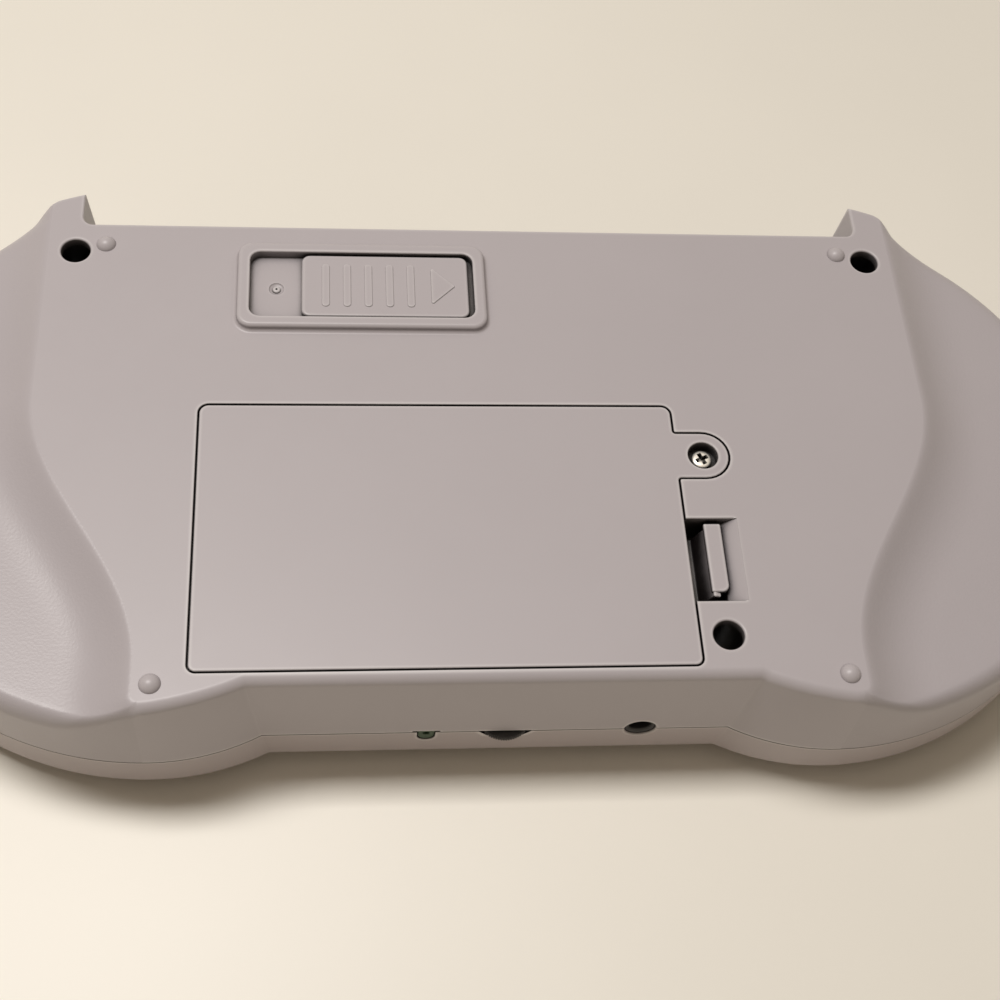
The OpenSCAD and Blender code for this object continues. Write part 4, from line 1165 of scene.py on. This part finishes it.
def build_cover_screw():
    """Small pan head with a cross recess."""
    seat = EAR_Z0 + EAR_WEB
    head = 1.8
    crown = 0.9
    shank = [(seat - 3.6, 0.5), (seat - 3.2, 1), (seat, 1)]
    flank = [(seat + 0.01, head - 0.1), (seat + 0.1, head)]
    dome = [(seat + 0.75 + 0.5 * sin(a), head - crown + crown * cos(a)) for a in quarter(6)]
    screw = solid("door_screw", disc(EAR_X, EAR_Y, 0), shank + flank + dome)
    long = 1.2
    wide = 0.42
    spots = [(long, -wide), (long, wide), (-long, wide), (-long, -wide)]
    for turn in (radians(25), radians(115)):
        slot = lying(Vector((EAR_X, EAR_Y)), direction(turn), spots, 0.1)
        carve(screw, [solid("cross", slot, [(seat + 0.2, -0.14), (seat + 2, 0.05)])])
    return screw


def build_slide():
    """Ribbed slide with a raised arrow, and the tongue that holds it in its window."""
    play = 0.3
    plate = box(SLIDE_X0, SLIDE_X1, WINDOW_Y0 + play, WINDOW_Y1 - play, 1.5)
    slide = pebble("lock_slide", plate, PANEL_Z, SLIDE_Z1, 0.5, 0.1)
    buried = SLIDE_Z1 - 0.5
    pitch = SLIDE_L * 0.127
    wide = 0.7
    long = 4.8
    for k in range(RIBS):
        x = SLIDE_X0 + 4.3 + pitch * k
        rib = box(x - wide, x + wide, WINDOW_MID - long, WINDOW_MID + long, 0.65)
        join(slide, [pebble("rib", rib, buried, SLIDE_Z1 + RIB_H, RIB_H, 0.1)])
    x = SLIDE_X1 - 6.8
    tip = 4.4
    half = 4.3
    arrow = plan([(x, WINDOW_MID - half, 0.3), (x + tip, WINDOW_MID, 0.3), (x, WINDOW_MID + half, 0.3)])
    join(slide, [pebble("arrow", arrow, buried, SLIDE_Z1 + 0.2, RIB_H, 0.1)])
    tongue = box(SLIDE_X0 + 12, SLIDE_X0 + 18, WINDOW_Y0 + 1.2, WINDOW_Y0 + 4.8)
    join(slide, [solid("tongue", tongue, straight(UNDER_Z - 1.6, PANEL_Z + 0.3))])
    return slide


def wheel_rim(grow):
    """Outline of the thumb wheel, with fine scallops."""
    steps = 5
    depth = 0.2
    count = WHEEL_TEETH * steps
    ring = []
    for k in range(count):
        cut = depth * (1 - sin(pi * k / steps % pi))
        spoke = direction(2 * pi * k / count)
        ring.append(Vector((WHEEL_X, WHEEL_Y)) + (WHEEL_SHOWN_R - cut + grow) * spoke)
    return ring


def build_wheel():
    """Thumb wheel with rounded edges and the hole for its pot's shaft."""
    e = 0.25
    hub = disc(WHEEL_X, WHEEL_Y, 1.5)
    wheel = solid("thumb_wheel", wheel_rim, round_foot(WHEEL_Z0 + 0.4, e) + round_top(WHEEL_Z1, e))
    carve(wheel, [solid("hub", hub, straight(0, FAR))])
    return wheel


def build_pad():
    """Direction pad: a cross with a hollow in its middle, four arrow marks and a round flange."""
    top = 1.0
    flange_z = FLOOR_Z + 0.4
    flange_t = 0.8
    dish = 10
    socket = 1.25
    cross = solid("direction_pad", pad_plan(), round_foot(top, 0.7) + [(flange_z + 0.2, 0)])
    flange = disc(PAD_X, PAD_Y, PAD_L / 2 + 1.9, 64)
    join(cross, [pebble("flange", flange, flange_z, flange_z + flange_t, 0.15, 0.15)])
    carve(cross, [ball(PAD_X, PAD_Y, top - dish + 0.6, dish)])
    carve(cross, [ball(PAD_X, PAD_Y, 6.25, socket)])
    engraved = [(top - 1, 0.2), (top + 0.01, 0.2), (top + 0.3, -0.1)]
    for k in range(4):
        mark = lying(Vector((PAD_X, PAD_Y)), direction(pi / 2 * k), [(7, -1.6), (9.4, 0), (7, 1.6)], 0.2)
        carve(cross, [solid("mark", mark, engraved)])
    return cross


def build_key(name, spot):
    """Face button: crowned top, rounded edge, flange that keeps it in the case."""
    crown = 16
    top = 0.5
    edge = 0.6
    steps = 8
    inner = BUTTON_R - edge
    sag = inner * inner / (2 * crown)
    profile = [(top + sag * (k / steps) ** 2, inner * k / steps + 0.02) for k in range(steps + 1)]
    profile += [(top + sag + edge * (1 - cos(a)), inner + edge * sin(a)) for a in quarter(5)[1:]]
    low = FLOOR_Z + KEY_PLAY
    flange = BUTTON_R + 1.1
    profile += [(low, BUTTON_R), (low, flange), (low + KEY_FLANGE_T, flange)]
    return solid(name, disc(*spot, 0, 64), profile)


def build_menu_key(name, x):
    """Start or select pill with its flange."""
    low = FLOOR_Z + KEY_PLAY
    key = solid(name, menu_plan(x), round_foot(FACE_Z - 1.2, 0.7) + [(low + 0.2, 0)])
    join(key, [solid("flange", menu_plan(x, 0.8), straight(low, low + KEY_FLANGE_T))])
    return key


def build_battery():
    """Wrapped pack with a moulded cap at the contact end."""
    x0 = BAY_X0 + 3.4
    x1 = BAY_X1 - 2.2
    y0 = BAY_Y0 + 2
    y1 = BAY_Y1 - 2
    z0 = BAY_FLOOR_Z + 0.2
    z1 = COVER_Z0 - 0.7
    middle = (y0 + y1) / 2
    wrap = 0.2
    pack = pebble("battery_body", box(x0 + 5, x1, y0 + wrap, y1 - wrap, 3), z0, z1 - 0.1, 1.6, 1.6)
    seam = box(x0 + 5 + wrap, x1 - wrap, middle - wrap, middle + wrap)
    carve(pack, [solid("seam", seam, straight(z1 - 0.25, FAR))])
    cap = pebble("battery_cap", box(x0, x0 + 6, y0, y1, 1.2), z0, z1, 0.8, 0.8)
    pitch = 10
    half = 1.5
    for k in (-1, 0, 1):
        y = middle + pitch * k
        gap = box(x0 - 1, x0 + 1, y - half, y + half)
        carve(cap, [solid("gap", gap, straight(z0 + 2, z1 - 3))])
    return pack, cap


def coat(node, look, edge):
    """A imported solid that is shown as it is: its material, and softly broken edges."""
    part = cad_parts[node]
    for slot in part.material_slots:
        slot.material = look
    weld = part.modifiers.new("weld", "WELD")
    weld.merge_threshold = 1e-6
    bevel = part.modifiers.new("edge", "BEVEL")
    bevel.width = edge * MM
    bevel.segments = 3
    bevel.limit_method = "ANGLE"
    bevel.angle_limit = radians(40)
    normals = part.modifiers.new("normals", "WEIGHTED_NORMAL")
    normals.keep_sharp = True


# Pieces

put(build_rear_shell(), "console", "shell", ["rear_shell"])
put(build_front_shell(), "console", "shell", ["front_shell"], FRONT)
put(build_cover(), "battery_door", "shell", ["battery_cover"], PANEL)
put(build_cover_screw(), "battery_door", "steel", ["cover_screw"], ZINC)
put(build_slide(), "slide", "shell", ["rear_slide"], PANEL)
put(build_wheel(), "wheel", "dark_plastic", ["volume_wheel"], BLACK)
put(build_pad(), "pad", "dark_plastic", ["dpad"], CHARCOAL)
KEYS = (("left", "lilac_button", LILAC), ("top", "lilac_button", LILAC),
        ("right", "purple_button", PURPLE), ("bottom", "purple_button", PURPLE))
for (side, slot, look), spot in zip(KEYS, key_spots()):
    put(build_key("key_" + side, spot), side + "_key", slot, ["button_" + side], look)
put(build_menu_key("start_pill", -MENU_X), "start_key", "dark_plastic", ["start_button"], CHARCOAL)
put(build_menu_key("select_pill", MENU_X), "select_key", "dark_plastic", ["select_button"], CHARCOAL)
lens = pebble("lens_plate", screen_plan(LENS_W, LENS_H, 2), 0.3, 1.5, 0.05, 0.35)
put(lens, "console", "lens", ["screen_lens"], LENS)
battery_body, battery_cap = build_battery()
put(battery_body, "console", "battery", ["battery_pack"], WRAP)
put(battery_cap, "console", "dark_plastic", ["battery_pack"], BLACK)
put(build_headphone_jack(), "console", "dark_plastic", ["headphone_jack"], BLACK)
put(build_power_jack(), "console", "green_plastic", ["power_jack"], GREEN)

COATED = (
    (BLACK, 0.12, ("slide_clip", "cartridge_well", "power_knob", "speaker_left", "speaker_right")),
    (STEEL, 0.08, ("case_screws", "board_screws", "lcd_frame", "dpad_ball", "power_switch", "volume_pot",
                   "shoulder_pins")),
    (RUBBER, 0.12, ("dpad_membrane", "face_membrane", "menu_membrane")),
    (GOLD, 0.05, ("battery_contacts", "connector_contacts")),
    (BOARD, 0.05, ("main_board", "shoulder_switch_left", "shoulder_switch_right")),
    (LILAC, 0.8, ("shoulder_left", "shoulder_right")),
    (CHARCOAL, 0.12, ("cartridge_connector",)),
    (LCD, 0.12, ("lcd_panel",)),
    (PIPE, 0.12, ("power_light",)),
)
for look, edge, names in COATED:
    for name in names:
        coat(name, look, edge)


# Stage, light and camera

CAMERA_AT = Vector((-28.4, -148.8, 256.6))
CAMERA_AIM = Vector((2.45, -4.78, 15))
CAMERA_ROLL = radians(10.23)
CAMERA_LENS = 57.01
FLOOR_R = 800
FLOOR_COLOUR = srgb(246, 241, 230)
SKY_COLOUR = srgb(244, 229, 208)
SKY_LIGHT = 0.2
SKY_SEEN = 0.9
LAMP_AT = Vector((-270, 160, 920))
LAMP_AIM = Vector((-260, -200, 0))
LAMP_SIZE = (540, 180)
LAMP_POWER = 7.0
LAMP_COLOUR = (1, 0.97, 0.94)


def add_camera():
    lens = bpy.data.cameras.new("camera")
    lens.sensor_width = 36
    lens.lens = CAMERA_LENS
    camera = bpy.data.objects.new("camera", lens)
    turn = (CAMERA_AIM - CAMERA_AT).to_track_quat("-Z", "Y").to_matrix().to_4x4()
    camera.matrix_world = Matrix.Translation(CAMERA_AT * MM) @ turn @ Matrix.Rotation(CAMERA_ROLL, 4, "Z")
    bpy.context.scene.collection.objects.link(camera)
    bpy.context.scene.camera = camera


def add_lamp():
    """One long soft lamp overhead, to the left of the table."""
    lamp = bpy.data.lights.new("overhead", "AREA")
    lamp.shape = "RECTANGLE"
    lamp.size = LAMP_SIZE[0] * MM
    lamp.size_y = LAMP_SIZE[1] * MM
    lamp.energy = LAMP_POWER
    lamp.color = LAMP_COLOUR
    holder = bpy.data.objects.new("overhead", lamp)
    holder.location = LAMP_AT * MM
    holder.rotation_euler = (LAMP_AIM - LAMP_AT).to_track_quat("-Z", "Y").to_euler()
    bpy.context.scene.collection.objects.link(holder)


def add_floor():
    """A round pale table top."""
    rim = disc(0, 0, FLOOR_R, 96)(0)
    floor = add_mesh("floor", [at(p, 0) for p in rim], [range(len(rim))])
    made, tree, shader, where = new_material("table")
    tint(tree, noise(tree, where, 90, 3), shader.inputs["Base Color"], FLOOR_COLOUR, 0.015)
    shader.inputs["Roughness"].default_value = 0.42
    floor.data.materials.append(made)


def add_world():
    """Warm sky: a low light on the object, pale where it is seen or mirrored."""
    world = bpy.data.worlds.new("studio")
    bpy.context.scene.world = world
    world.use_nodes = True
    tree = world.node_tree
    sky = tree.nodes["Background"]
    sky.inputs["Color"].default_value = SKY_COLOUR
    path = tree.nodes.new("ShaderNodeLightPath")
    rays = path.outputs["Is Camera Ray"]
    for kind in ("Is Glossy Ray", "Is Transmission Ray"):
        rays = math_node(tree, "MAXIMUM", rays, path.outputs[kind])
    more = math_node(tree, "MULTIPLY", rays, SKY_SEEN - SKY_LIGHT)
    tree.links.new(math_node(tree, "ADD", more, SKY_LIGHT), sky.inputs["Strength"])


add_camera()
add_floor()
add_world()
add_lamp()
bpy.context.scene.view_settings.view_transform = "Standard"
